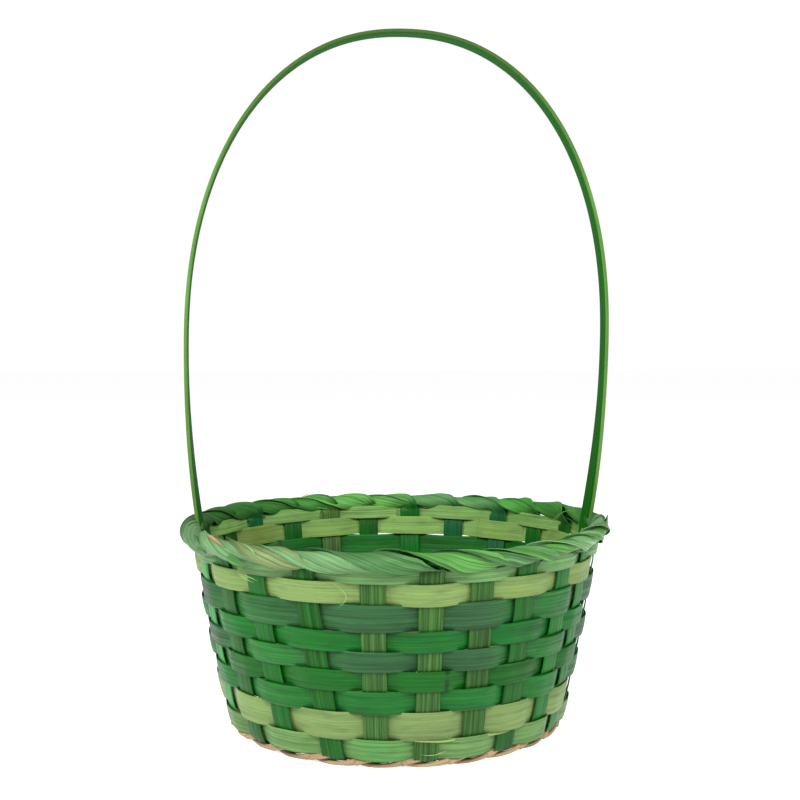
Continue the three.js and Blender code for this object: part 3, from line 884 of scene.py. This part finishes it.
def stake_wave(stake, z):
    """1 where a stake is pushed outwards by a weaver behind it, and -1 where a weaver lies in front."""
    levels = list(reversed(ROW_MIDDLES))
    sides = [1.0 if passes_inside(row, stake) else -1.0 for row in range(ROWS, 0, -1)]
    out = np.full(len(z), sides[0])
    for n in range(ROWS - 1):
        share = (z - levels[n]) / (levels[n + 1] - levels[n])
        between = (share >= 0) & (share <= 1)
        out[between] = eased(sides[n], sides[n + 1], share[between])
    out[z > levels[-1]] = sides[-1]
    return out


def stake_path(stake, sizes, draw):
    """Path of a stake: up the wall with a small wave, then the helix round the rim core."""
    roll_radius = sizes.roll_radius * draw.uniform(*RADIUS_LIMITS)
    roll_lift = draw.uniform(*LIFT_LIMITS) * MM
    section, wall_end = section_curve(roll_radius, roll_lift)
    lengths = running_length(section)
    turn_start = lengths[wall_end - 1] - TURN_LEAD
    distance, lean, side, rise, on_roll = helix_course(turn_start, lengths[-1])
    wobble = smooth_noise(distance, draw.random(), WANDER_LENGTH)
    rise = np.clip(rise + BAND_WANDER * wobble * on_roll, 0, lengths[-1])
    place, tangent, normal = section_frame(section, lengths, rise)
    in_wall = (1 - on_roll) * np.clip((place[:, 1] - WALL_FOOT) / WAVE_START, 0, 1)
    wave = sizes.stake_wave * stake_wave(stake, place[:, 1]) * in_wall
    r, z = (place + wave[:, None] * normal).T
    angle = stake_angle(stake, np.minimum(z, WALL_TOP)) + side / ROLL_R
    r, z = rim_place(r, z, angle, on_roll)
    up_surface = polar(tangent[:, 0], angle, tangent[:, 1])
    round_surface = polar(1.0, angle + math.pi / 2, 0.0)
    across = turned(up_surface, round_surface, lean)[1]
    lift = np.arcsin(np.clip(sizes.band_lift / (sizes.band_width / 2), 0, 1)) * on_roll
    across, facing = turned(across, polar(normal[:, 0], angle, normal[:, 1]), lift)
    band = sizes.band_width / sizes.stake_width * draw.uniform(*BAND_LIMITS)
    breadth = (1 - on_roll) + on_roll * band
    breadth = breadth * (1 + STAKE_VARIATION * smooth_noise(distance, draw.random(), VARIATION_LENGTH))
    before_end = np.clip((distance[-1] - distance) / END_TAPER, 0, 1)
    breadth = breadth * (END_SHARE + (1 - END_SHARE) * before_end)
    full = np.interp(np.degrees(angle) % 360, RIM_DIRECTIONS, RIM_FULLNESS)
    roll_curl = math.cos(HELIX_ANGLE) ** 2 / (roll_radius * full) * draw.uniform(*CURL_LIMITS)
    return {
        "centre": polar(r, angle, z),
        "facing": facing,
        "across": across,
        "breadth": breadth,
        "curl": -(1 - on_roll) / STAKE_ROUND + on_roll * roll_curl,
        "tint": on_roll,
    }


# Dyes of the stakes from the right-hand one on, counted anticlockwise from above.
STAKE_DYES = (
    "leaf", "leaf", "deep_green", "teal_green", "teal_green", "fresh_green",
    "leaf", "olive", "deep_green", "teal_green", "leaf", "deep_green",
    "mid_green", "pale_green", "leaf", "deep_green", "leaf", "striped_green",
    "striped_green", "brown_green", "leaf", "fresh_green", "fresh_green", "mid_green",
)
# Dyes that the rim's bands draw from, where the table after it names none.
RIM_DYES = ("rim_green", "rim_grey", "rim_deep", "rim_green", "rim_grey", "rim_green")
# Dye and brightness of the rim's bands, by the stake that they belong to. The brightness is partly each
# band's own tone and partly painted light: the gains over 1 at the right and back (stakes 0 to 2, 7 and 8)
# paint light onto that part of the rim.
RIM_TONES_AND_BACK_LIGHT = {
    0: ("rim_deep", 1.3),
    1: ("rim_deep", 1.4),
    2: ("rim_deep", 1.7),
    7: ("rim_deep", 1.6),
    8: ("rim_deep", 1.2),
    9: ("rim_deep", 0.9),
    10: ("rim_deep", 0.9),
    11: ("rim_grey", 0.8),
    12: ("rim_pale", 0.72),
    13: ("rim_pale", 0.82),
    14: ("light_green", 1.05),
    15: ("rim_pale", 0.85),
    16: ("rim_grey", 1.05),
    17: ("rim_green", 1.3),
    18: ("rim_grey", 1.1),
    19: ("rim_green", 1.2),
    20: ("rim_pale", 0.9),
    21: ("rim_green", 1.15),
    22: ("rim_pale", 0.85),
}
# Painted light: how much brighter the colour of a band with a drawn dye is made at the very back of the
# rim, and the limits of its drawn brightness.
BACK_PAINTED_LIGHT = 0.9
TONE_LIMITS = (0.85, 1.12)
# How stripy the stakes are, and those that differ.
STAKE_USUAL_STRIPES = 0.6
STAKE_STRIPES = {7: 0.9, 8: 0.8, 16: 0.85, 17: 0.95, 18: 0.85, 19: 0.85}


class BASKET_OT_stakes(bpy.types.Operator):
    """Sets up the stakes and rolls their ends round the rim core"""

    bl_idname = "basket.stakes"
    bl_label = "Stakes and rolled rim"

    def execute(self, context):
        sizes, colours = context.scene.basket_sizes, context.scene.basket_colours
        draw = random.Random(5)
        for stake in range(STAKES):
            name = f"stake_{stake + 1:02d}"
            dye = tuple(getattr(colours, STAKE_DYES[stake]))
            # Painted light: a band's colour is made brighter the further back on the rim it lies.
            behind = 1 + BACK_PAINTED_LIGHT * max(0.0, math.sin(math.tau * stake / STAKES))
            drawn = draw.choice(RIM_DYES), behind * draw.uniform(*TONE_LIMITS)
            tone, gain = RIM_TONES_AND_BACK_LIGHT.get(stake, drawn)
            rim_dye_and_back_light = shaded(getattr(colours, tone), gain)
            stripes = STAKE_STRIPES.get(stake, STAKE_USUAL_STRIPES)
            label = f"Dyed wood splint, stake {stake + 1}"
            material = splint_material(label, dye, dye, rim_dye_and_back_light, 5.0 * stake + 200.0, stripes)
            path = stake_path(stake, sizes, draw)
            piece = lay_splint(f"{name}_splint", path, sizes.stake_width, sizes.stake_thickness, material)
            finish_piece(piece, "dyed_stake", name)
        return {"FINISHED"}


# Strands in the core, how often they twist on the way round, and their sizes as shares of its radius.
CORE_STRANDS = 3
CORE_TWISTS = 9
STRAND_RING, STRAND_WIDTH, STRAND_THICKNESS = 0.42, 1.15, 0.6


class BASKET_OT_rim_core(bpy.types.Operator):
    """Twists the filler strands that the rim is rolled round"""

    bl_idname = "basket.rim_core"
    bl_label = "Rim core"

    def execute(self, context):
        colours = context.scene.basket_colours
        material = splint_material("Dyed wood filler", *[tuple(colours.deep_green)] * 3, 77.0)
        angle = np.linspace(0, math.tau, 240)
        for strand in range(CORE_STRANDS):
            twist = strand * math.tau / CORE_STRANDS + angle * CORE_TWISTS
            ring = STRAND_RING * CORE_RADIUS
            r, z = rim_place(ROLL_R + ring * np.cos(twist), ROLL_Z + ring * np.sin(twist), angle, 1.0)
            path = {
                "centre": polar(r, angle, z),
                "facing": polar(np.cos(twist), angle, np.sin(twist)),
                "across": polar(-np.sin(twist), angle, np.cos(twist)),
            }
            piece = lay_splint(
                f"rim_core_strand_{strand + 1}", path, STRAND_WIDTH * CORE_RADIUS,
                STRAND_THICKNESS * CORE_RADIUS, material, softness=0.8, section_points=12,
            )
            finish_piece(piece, "rim_filler", "rim_core")
        return {"FINISHED"}


# ------------------------------------------------------------------ slivers, loose ends and fibres


# Loose fibres: start and end as (direction in degrees, radius and height in millimetres), then the bulge.
FIBRES = (
    ((249, 117.5, 101), (250.5, 116.5, 88), (3.0, 1.5, 0)),
    ((54, 108.5, 109), (55.5, 107.5, 87), (0.4, 0.3, 0)),
    ((8, 112, 117), (24, 107, 97), (2.0, 0, 5)),
    ((14, 108, 115), (28, 107, 99), (-3.0, -1, 1)),
    ((118, 119, 114), (113, 119, 117.5), (0, 0, 0.6)),
    ((119, 118.5, 114), (114.5, 119, 116.2), (0, 0, -0.4)),
    ((224, 121.5, 101), (229, 120.5, 98.4), (0, 0.4, 0.5)),
    ((222.5, 121.5, 101.5), (227, 121, 99.6), (0, 0.6, -0.5)),
    ((223, 121.6, 100.3), (228, 121.4, 97.6), (0, 0.5, 0)),
    ((272, 98, 8), (281, 97.8, 9.5), (0, 1.0, -1.2)),
    ((160, 121, 112), (170, 122.5, 106), (2.5, 1.5, 0)),
)
# Torn splint tips that stand out of the roll: start, end, bulge and width in millimetres.
LOOSE_ENDS = (
    ((214, 121, 112.6), (228, 122.3, 106.0), (0, 1.0, -1.2), 5.0),
    ((346, 121.5, 116.6), (357, 122.6, 113.0), (0, 1.2, 0.8), 8.0),
    ((318, 118.6, 108.6), (328, 120.6, 110.6), (0, 0.8, 0.6), 5.5),
    ((196, 119.8, 113.6), (209, 122.4, 108.0), (0, 1.0, 0.6), 7.5),
    ((58, 117.5, 109.0), (68, 115.2, 110.6), (0, -0.9, 0.4), 5.0),
    ((140, 121.6, 111.0), (152, 122.8, 107.4), (0, 0.8, 0), 6.0),
)
# The same for a splinter at the left of the rim that took no dye.
TAN_STREAK = ((206, 119.2, 117.0), (218, 122.3, 113.6), (0, 0.8, 1.1), 3.2)
# First and last path point of the split along the eighth weaver's lower edge.
SLIVER_SPAN = (186, 236)
# Widths and thicknesses, and the share of its length over which each comes to a point.
FIBRE_SIZE, FIBRE_POINT = (0.42 * MM, 0.25 * MM), 0.3
SLIVER_SIZE, SLIVER_POINT = (1.1 * MM, 0.45 * MM), 0.2
TIP_THICKNESS, TIP_POINT = 0.5 * MM, 0.45
STREAK_THICKNESS, STREAK_POINT = 0.4 * MM, 0.5


def in_metres(place):
    """A place or bulge with its radius and height turned to metres."""
    return place[0], place[1] * MM, place[2] * MM


def pointed(share, taper):
    """Share of the width along a piece that comes to a point over a share of its length at each end."""
    return np.minimum(share, 1 - share) / taper


def arc_path(start, end, bulge, taper):
    """Path between two places, each (direction in degrees, radius, height), bulged by a vector."""
    start, end, bulge = (np.array(in_metres(place)) for place in (start, end, bulge))
    share = np.linspace(0, 1, 48)
    way = start + (end - start) * share[:, None] + bulge * np.sin(np.pi * share)[:, None]
    angle = np.radians(way[:, 0])
    centre = polar(way[:, 1], angle, way[:, 2])
    tangent = np.gradient(centre, axis=0)
    tangent /= np.linalg.norm(tangent, axis=1)[:, None]
    across = np.cross(polar(1.0, angle, 0.0), tangent)
    across /= np.linalg.norm(across, axis=1)[:, None]
    return {
        "centre": centre,
        "facing": np.cross(tangent, across),
        "across": across,
        "breadth": np.clip(pointed(share, taper), 0.12, 1),
    }


def add_fibres(colours, pale):
    """Lays the loose fibres."""
    material = splint_material("Dyed wood fibre", pale, pale, tuple(colours.lime), 400.0, 0.2)
    for number, (start, end, bulge) in enumerate(FIBRES, 1):
        fibre = lay_splint(
            f"loose_fibre_{number:02d}", arc_path(start, end, bulge, FIBRE_POINT), *FIBRE_SIZE, material,
            softness=1.0, section_points=6,
        )
        finish_piece(fibre, "dyed_weaver")


def add_tips(colours):
    """Lays the torn tips and the undyed splinter on the rim."""
    greens = [colours.lime, colours.rim_green, colours.rim_grey, colours.rim_green, colours.rim_deep]
    for number, (start, end, bulge, width) in enumerate(LOOSE_ENDS, 1):
        green = shaded(greens[number % len(greens)], 1.05)
        material = splint_material(f"Dyed wood splint, tip {number}", *[green] * 3, 420.0 + number, 0.5)
        path = arc_path(start, end, bulge, TIP_POINT)
        tip = lay_splint(
            f"loose_tip_{number}", path, width * MM, TIP_THICKNESS, material, section_points=14,
        )
        finish_piece(tip, "dyed_stake")
    start, end, bulge, width = TAN_STREAK
    undyed = shaded(colours.natural, 0.85)
    material = splint_material("Undyed wood splint", undyed, undyed, tuple(colours.lime), 440.0, 0.6)
    path = arc_path(start, end, bulge, STREAK_POINT)
    streak = lay_splint(
        "loose_tip_undyed", path, width * MM, STREAK_THICKNESS, material, section_points=12,
    )
    finish_piece(streak, "natural_bamboo")


def add_sliver(sizes, pale):
    """Splits a sliver off the eighth weaver's lower edge. It bows down and out between its ends."""
    chosen = slice(*SLIVER_SPAN)
    sliver = {key: np.asarray(values)[chosen].copy() for key, values in weaver_path(8, sizes).items()}
    share = np.linspace(0, 1, len(sliver["curl"]))
    bow = np.sin(np.pi * share)[:, None]
    drop = ROW_WIDTHS[7] / 2 + (0.1 + 0.5 * bow) * MM
    out = (0.5 + 0.9 * bow) * MM
    sliver["centre"] += out * sliver["facing"] - drop * sliver["across"]
    sliver["breadth"] = np.clip(pointed(share, SLIVER_POINT), 0.1, 1)
    material = splint_material("Dyed wood splint, sliver", pale, pale, pale, 431.0, 0.3)
    piece = lay_splint("weaver_08_sliver", sliver, *SLIVER_SIZE, material, section_points=10)
    finish_piece(piece, "dyed_weaver")


class BASKET_OT_slivers(bpy.types.Operator):
    """Adds the split sliver, the torn tips on the rim and the loose fibres"""

    bl_idname = "basket.slivers"
    bl_label = "Slivers and fibres"

    def execute(self, context):
        sizes, colours = context.scene.basket_sizes, context.scene.basket_colours
        pale = shaded(colours.lime, 1.5)
        add_fibres(colours, pale)
        add_tips(colours)
        add_sliver(sizes, pale)
        return {"FINISHED"}


# ------------------------------------------------------------------ handle


# How square the arch is: 2 is an ellipse.
ARCH_POWER = 2.2
# Height at which the handle is widest, and the depth under the wall's top at which its legs leave the wall.
WIDEST_LEVEL = 220 * MM
NECK_DEPTH = 10 * MM
# Rate at which a leg goes outwards where it leaves the rim, and how far inside the wall and inside the
# roll's centre it lies.
LEG_SPLAY = 0.17
LEG_INSET = 2.4 * MM
RIM_INSET = 5.0 * MM
# How far the right and the left leg are twisted towards the front at the rim, and how far from it that
# still shows.
RIGHT_TWIST = math.radians(8)
LEFT_TWIST = math.radians(7)
TWIST_SPAN = 95 * MM
# Where the cut edges start to darken and over what height, as shares of the handle's height.
DARK_START, DARK_SPAN = 0.75, 0.22


def rising(start, start_slope, end, end_slope, count):
    """Curve up from one place to another with given slopes, without its first point."""
    reach = (end[1] - start[1]) / 3
    start_pull = start + np.array([start_slope, 1.0]) * reach
    end_pull = end - np.array([end_slope, 1.0]) * reach
    return cubic(start, start_pull, end_pull, end, np.linspace(0, 1, count)[1:])


def handle_line(sizes):
    """Half of the handle's centreline as (radius, height), from a leg's foot to the crown."""
    half_span = HANDLE_HIGH.x - sizes.handle_thickness / 2
    crown = HANDLE_HIGH.z - sizes.handle_thickness / 2
    neck_z = WALL_TOP - NECK_DEPTH
    heights = np.linspace(HANDLE_LOW.z + 1 * MM, neck_z, 30)
    wall = np.stack([wall_radius(heights) - LEG_INSET, heights], axis=1)
    at_rim = np.array([ROLL_R - RIM_INSET, ROLL_Z])
    neck = rising(wall[-1], wall_slope(neck_z), at_rim, LEG_SPLAY, 16)
    leg = rising(at_rim, LEG_SPLAY, np.array([half_span, WIDEST_LEVEL]), 0.0, 60)
    t = np.linspace(0, math.pi / 2, 120)[1:]
    power = 2 / ARCH_POWER
    cosine = np.clip(np.cos(t), 0, 1)
    cosine[-1] = 0.0
    arch = np.stack([
        half_span * cosine ** power,
        WIDEST_LEVEL + (crown - WIDEST_LEVEL) * np.sin(t) ** power,
    ], axis=1)
    return np.concatenate([wall, neck, leg, arch])


class BASKET_OT_handle(bpy.types.Operator):
    """Bends the handle's strip and pushes its legs down inside the rim"""

    bl_idname = "basket.handle"
    bl_label = "Handle"

    def execute(self, context):
        sizes = context.scene.basket_sizes
        half = handle_line(sizes)
        line = np.concatenate([half, (half[:-1] * [-1, 1])[::-1]])
        above_rim = np.clip((line[:, 1] - ROLL_Z) / (HANDLE_HIGH.z - ROLL_Z), 0, 1)
        line[:, 0] += sizes.handle_lean * above_rim
        steps = running_length(line)
        even = np.linspace(0, steps[-1], 520)
        x, z = (np.interp(even, steps, column) for column in line.T)
        for column in (x, z):
            column[4:-4] = np.convolve(column, np.ones(9) / 9, mode="valid")
        zero = np.zeros_like(x)
        tangent = np.stack([np.gradient(x), zero, np.gradient(z)], axis=1)
        tangent /= np.linalg.norm(tangent, axis=1)[:, None]
        across = np.tile([0.0, 1.0, 0.0], (len(x), 1))
        near_rim = smooth_step(1 - np.abs(z - ROLL_Z) / TWIST_SPAN)
        twist = np.where(x > 0, RIGHT_TWIST, LEFT_TWIST) * near_rim
        facing, across = turned(np.cross(across, tangent), across, twist)
        height = z / HANDLE_HIGH.z
        path = {
            "centre": np.stack([x, zero, z], axis=1),
            "facing": facing,
            "across": across,
            "breadth": 1 + 0.015 * smooth_noise(even, 3, 120 * MM),
            "tint": np.clip((height - DARK_START) / DARK_SPAN, 0, 1),
        }
        piece = lay_splint(
            "handle_strip", path, sizes.handle_width, sizes.handle_thickness,
            handle_material(context.scene.basket_colours), softness=0.12, section_points=28,
        )
        finish_piece(piece, "dyed_handle", "handle")
        return {"FINISHED"}


# ------------------------------------------------------------------ natural bamboo base


# Radius at which the two twined strands lie, how far they swing out and in, and how far they tip over
# between the feet.
TWIST_RADIUS = wall_radius(WALL_FOOT) - 3.0 * MM
TWIST_REACH = 1.7 * MM
STRAND_TILT = 0.75


def strand_path(phase, sizes, seed):
    """Path of a base strand. The two twist round each other, one over and one under each stake's foot."""
    position = np.linspace(0, STAKES, 720)
    angles = angles_between(position, WALL_FOOT)
    twist = math.pi * (position + phase)
    rise = FOOT_LEVEL - sizes.strand_thickness / 2
    wobble = smooth_noise(position, seed, 2.7)
    tilt = STRAND_TILT * np.sin(twist)
    level = np.sqrt(1 - tilt ** 2) * np.where(np.cos(twist) >= 0, 1, -1)
    return {
        "centre": polar(
            TWIST_RADIUS + TWIST_REACH * np.sin(twist) + 0.4 * MM * wobble, angles,
            FOOT_LEVEL - rise * np.cos(twist),
        ),
        "facing": polar(tilt, angles, -level),
        "across": polar(level, angles, tilt),
        "breadth": 1 + 0.12 * smooth_noise(position, seed + 1, 3.3),
    }


class BASKET_OT_base_strands(bpy.types.Operator):
    """Twines the natural strands round the edge of the base"""

    bl_idname = "basket.base_strands"
    bl_label = "Base strands"

    def execute(self, context):
        sizes, colours = context.scene.basket_sizes, context.scene.basket_colours
        for parity, side in enumerate(("outer", "inner")):
            material = natural_material(f"Natural split bamboo, {side} strand", colours, 30.0 + 9 * parity)
            piece = lay_splint(
                f"base_strand_{side}_split", strand_path(parity, sizes, 8 + parity), sizes.strand_width,
                sizes.strand_thickness, material, softness=0.6, section_points=12,
            )
            finish_piece(piece, "natural_bamboo", f"base_strand_{side}")
        return {"FINISHED"}


# Height of a strip's middle under and over another, and the part of a space over which it changes.
MAT_LEVELS = (0.45 * MM, MAT_TOP - 0.45 * MM)
STEP_START, STEP_SPAN = 0.38, 0.24


def mat_path(low, high, lines, along_x, index):
    """Path of a mat strip in its box, over and under the strips that cross it on the given lines."""
    start, end = (low.x, high.x) if along_x else (low.y, high.y)
    line = (low.y + high.y) / 2 if along_x else (low.x + high.x) / 2
    place = lines.index(min(lines, key=lambda other: abs(other - line)))
    distance = np.linspace(start, end, 160)
    crossing = (distance - lines[0]) / (lines[1] - lines[0])
    number = np.floor(crossing)
    under = (number + place) % 2 == (0 if along_x else 1)
    before, after = np.where(under, *MAT_LEVELS), np.where(under, *MAT_LEVELS[::-1])
    z = before + (after - before) * smooth_step((crossing - number - STEP_START) / STEP_SPAN)
    aside = line + 0.4 * MM * smooth_noise(distance, index, 90 * MM)
    return {
        "centre": np.stack([distance, aside, z] if along_x else [aside, distance, z], axis=1),
        "facing": np.tile([0.0, 0.0, 1.0], (len(z), 1)),
        "across": np.tile([0.0, 1.0, 0.0] if along_x else [1.0, 0.0, 0.0], (len(z), 1)),
    }


class BASKET_OT_base_mat(bpy.types.Operator):
    """Weaves the natural mat in the middle of the base"""

    bl_idname = "basket.base_mat"
    bl_label = "Base mat"

    def execute(self, context):
        colours = context.scene.basket_colours
        strips = sorted(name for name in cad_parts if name.startswith("mat_strip_"))
        boxes = {name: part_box(name) for name in strips}
        lines = sorted((low.y + high.y) / 2 for name, (low, high) in boxes.items() if "_x" in name)
        for index, (name, (low, high)) in enumerate(boxes.items()):
            along_x = "_x" in name
            width = (high.y - low.y) if along_x else (high.x - low.x)
            material = natural_material(f"Natural bamboo strip {index + 1}", colours, 300.0 + 4 * index)
            path = mat_path(low, high, lines, along_x, index)
            piece = lay_splint(f"{name}_strip", path, width, 0.75 * MM, material, section_points=16)
            finish_piece(piece, "natural_bamboo", name)
        return {"FINISHED"}


# Width and thickness of the hoop, its length in turns, and the turns at which it climbs over its start.
HOOP_WIDTH, HOOP_THICKNESS = 6 * MM, 1.2 * MM
HOOP_TURNS = 1.04
CLIMB_START, CLIMB_TURNS, CLIMB = 0.98, 0.03, 1.3 * MM


class BASKET_OT_base_hoop(bpy.types.Operator):
    """Bends the hoop that holds the stakes' feet down"""

    bl_idname = "basket.base_hoop"
    bl_label = "Base hoop"

    def execute(self, context):
        colours = context.scene.basket_colours
        turns = np.linspace(0, HOOP_TURNS, 260)
        angle = math.tau * turns
        level = (HOOP_LOW.z + HOOP_HIGH.z) / 2
        path = {
            "centre": polar(
                HOOP_HIGH.x - HOOP_WIDTH / 2, angle,
                level + CLIMB * smooth_step((turns - CLIMB_START) / CLIMB_TURNS),
            ),
            "facing": np.tile([0.0, 0.0, 1.0], (len(angle), 1)),
            "across": polar(1.0, angle, 0.0),
        }
        material = natural_material("Natural split bamboo, base hoop", colours, 61.0)
        piece = lay_splint(
            "base_hoop_strip", path, HOOP_WIDTH, HOOP_THICKNESS, material, softness=0.25, section_points=16,
        )
        finish_piece(piece, "natural_bamboo", "base_hoop")
        return {"FINISHED"}


# ------------------------------------------------------------------ stage


# Direction in which the camera stands, its distance, its height, how far it is moved aside, how far it
# looks down, and the focal length in sensor widths.
CAMERA_ANGLE = math.radians(-95.4)
CAMERA_DISTANCE = 761 * MM
CAMERA_HEIGHT = 229 * MM
CAMERA_ASIDE = 2.6 * MM
CAMERA_PITCH = math.radians(3.25)
LENS_PER_SENSOR = 1.635
# Soft boxes: name, azimuth from the camera, elevation, distance, size and power.
LIGHTS = (
    ("left soft box", -62, 30, 1.0, 0.4, 8.5),
    ("right soft box", 60, 28, 1.0, 0.4, 7.0),
    ("front soft box", -4, 40, 1.1, 0.4, 11.0),
)
LIGHT_AIM = Vector((0, 0, 0.1))
FLOOR_REACH = 6.0
# Glow of the floor, and strength of the surroundings as they light the basket and as the camera sees them.
FLOOR_GLOW = 0.68
SURROUND_LIGHT, SURROUND_SEEN = 0.38, 1.02


def add_light(name, azimuth, elevation, distance, size, power):
    """A soft square light aimed at the basket. Azimuth 0 is on the camera's side."""
    data = bpy.data.lights.new(name, "AREA")
    data.size = size
    data.energy = power
    light = bpy.data.objects.new(name, data)
    turn = CAMERA_ANGLE + math.radians(azimuth)
    rise = math.radians(elevation)
    away = Vector((math.cos(turn) * math.cos(rise), math.sin(turn) * math.cos(rise), math.sin(rise)))
    light.location = LIGHT_AIM + away * distance
    light.rotation_euler = away.to_track_quat("Z", "Y").to_euler()
    bpy.context.scene.collection.objects.link(light)


def add_floor(scene):
    """Lays a large sheet of matt white paper, which glows a little so that it stays pale."""
    corners = [(x * FLOOR_REACH, y * FLOOR_REACH, 0) for x, y in ((-1, -1), (1, -1), (1, 1), (-1, 1))]
    mesh = bpy.data.meshes.new("floor")
    mesh.from_pydata(corners, [], [(0, 1, 2, 3)])
    material = bpy.data.materials.new("Matt white paper")
    material.use_nodes = True
    shader = material.node_tree.nodes["Principled BSDF"]
    for key, value in (
        ("Base Color", linear("#e6e6e6")), ("Roughness", 0.9), ("Specular IOR Level", 0.0),
        ("Emission Color", linear("#ffffff")), ("Emission Strength", FLOOR_GLOW),
    ):
        shader.inputs[key].default_value = value
    mesh.materials.append(material)
    floor = bpy.data.objects.new("floor", mesh)
    scene.collection.objects.link(floor)


def add_surroundings(scene):
    """Makes the world white to the camera and dimmer to the basket."""
    world = bpy.data.worlds.new("White surround")
    world.use_nodes = True
    tree = world.node_tree
    tree.nodes.clear()
    seen = add_node(tree, "ShaderNodeLightPath").outputs["Is Camera Ray"]
    strength = add_node(tree, "ShaderNodeMapRange", {
        "Value": seen, "To Min": SURROUND_LIGHT, "To Max": SURROUND_SEEN,
    })
    background = add_node(tree, "ShaderNodeBackground", {"Color": linear("#ffffff"), "Strength": strength})
    add_node(tree, "ShaderNodeOutputWorld", [background])
    scene.world = world
    scene.view_settings.view_transform = "Standard"


def add_camera(scene):
    """Stands the camera in front of the basket, a little to the left."""
    toward = Vector((math.cos(CAMERA_ANGLE), math.sin(CAMERA_ANGLE), 0))
    right = Vector((-toward.y, toward.x, 0))
    data = bpy.data.cameras.new("camera")
    data.lens = data.sensor_width * LENS_PER_SENSOR
    camera = bpy.data.objects.new("camera", data)
    camera.location = toward * CAMERA_DISTANCE + right * CAMERA_ASIDE + Vector((0, 0, CAMERA_HEIGHT))
    look = -toward * math.cos(CAMERA_PITCH) - Vector((0, 0, math.sin(CAMERA_PITCH)))
    camera.rotation_euler = look.to_track_quat("-Z", "Y").to_euler()
    scene.collection.objects.link(camera)
    scene.camera = camera


class BASKET_OT_stage(bpy.types.Operator):
    """Sets the floor, the soft lights, the pale surroundings and the camera"""

    bl_idname = "basket.stage"
    bl_label = "Stage"

    def execute(self, context):
        add_floor(context.scene)
        add_surroundings(context.scene)
        for light in LIGHTS:
            add_light(*light)
        add_camera(context.scene)
        return {"FINISHED"}


class BASKET_PT_panel(bpy.types.Panel):
    """Lists the basket's pieces, in the order in which they are made"""

    bl_idname = "BASKET_PT_panel"
    bl_label = "Splint Basket"
    bl_space_type = "VIEW_3D"
    bl_region_type = "UI"
    bl_category = "Basket"

    def draw(self, context):
        for operator in OPERATORS:
            self.layout.operator(operator.bl_idname)
        for group in (context.scene.basket_sizes, context.scene.basket_colours):
            for name in group.__annotations__:
                self.layout.prop(group, name)


OPERATORS = (
    BASKET_OT_stage,
    BASKET_OT_stakes,
    BASKET_OT_weavers,
    BASKET_OT_rim_core,
    BASKET_OT_slivers,
    BASKET_OT_handle,
    BASKET_OT_base_strands,
    BASKET_OT_base_mat,
    BASKET_OT_base_hoop,
)
CLASSES = (BasketColours, BasketSizes, *OPERATORS, BASKET_PT_panel)


def register():
    """Registers the classes and the scene's settings."""
    for cls in CLASSES:
        bpy.utils.register_class(cls)
    bpy.types.Scene.basket_colours = bpy.props.PointerProperty(type=BasketColours)
    bpy.types.Scene.basket_sizes = bpy.props.PointerProperty(type=BasketSizes)


def unregister():
    """Takes the classes and the settings away."""
    del bpy.types.Scene.basket_sizes
    del bpy.types.Scene.basket_colours
    for cls in reversed(CLASSES):
        bpy.utils.unregister_class(cls)


def main():
    """Makes every piece and the stage."""
    register()
    bpy.ops.basket.stage()
    bpy.ops.basket.stakes()
    bpy.ops.basket.weavers()
    bpy.ops.basket.rim_core()
    bpy.ops.basket.slivers()
    bpy.ops.basket.handle()
    bpy.ops.basket.base_strands()
    bpy.ops.basket.base_mat()
    bpy.ops.basket.base_hoop()


if __name__ == "__main__":
    main()
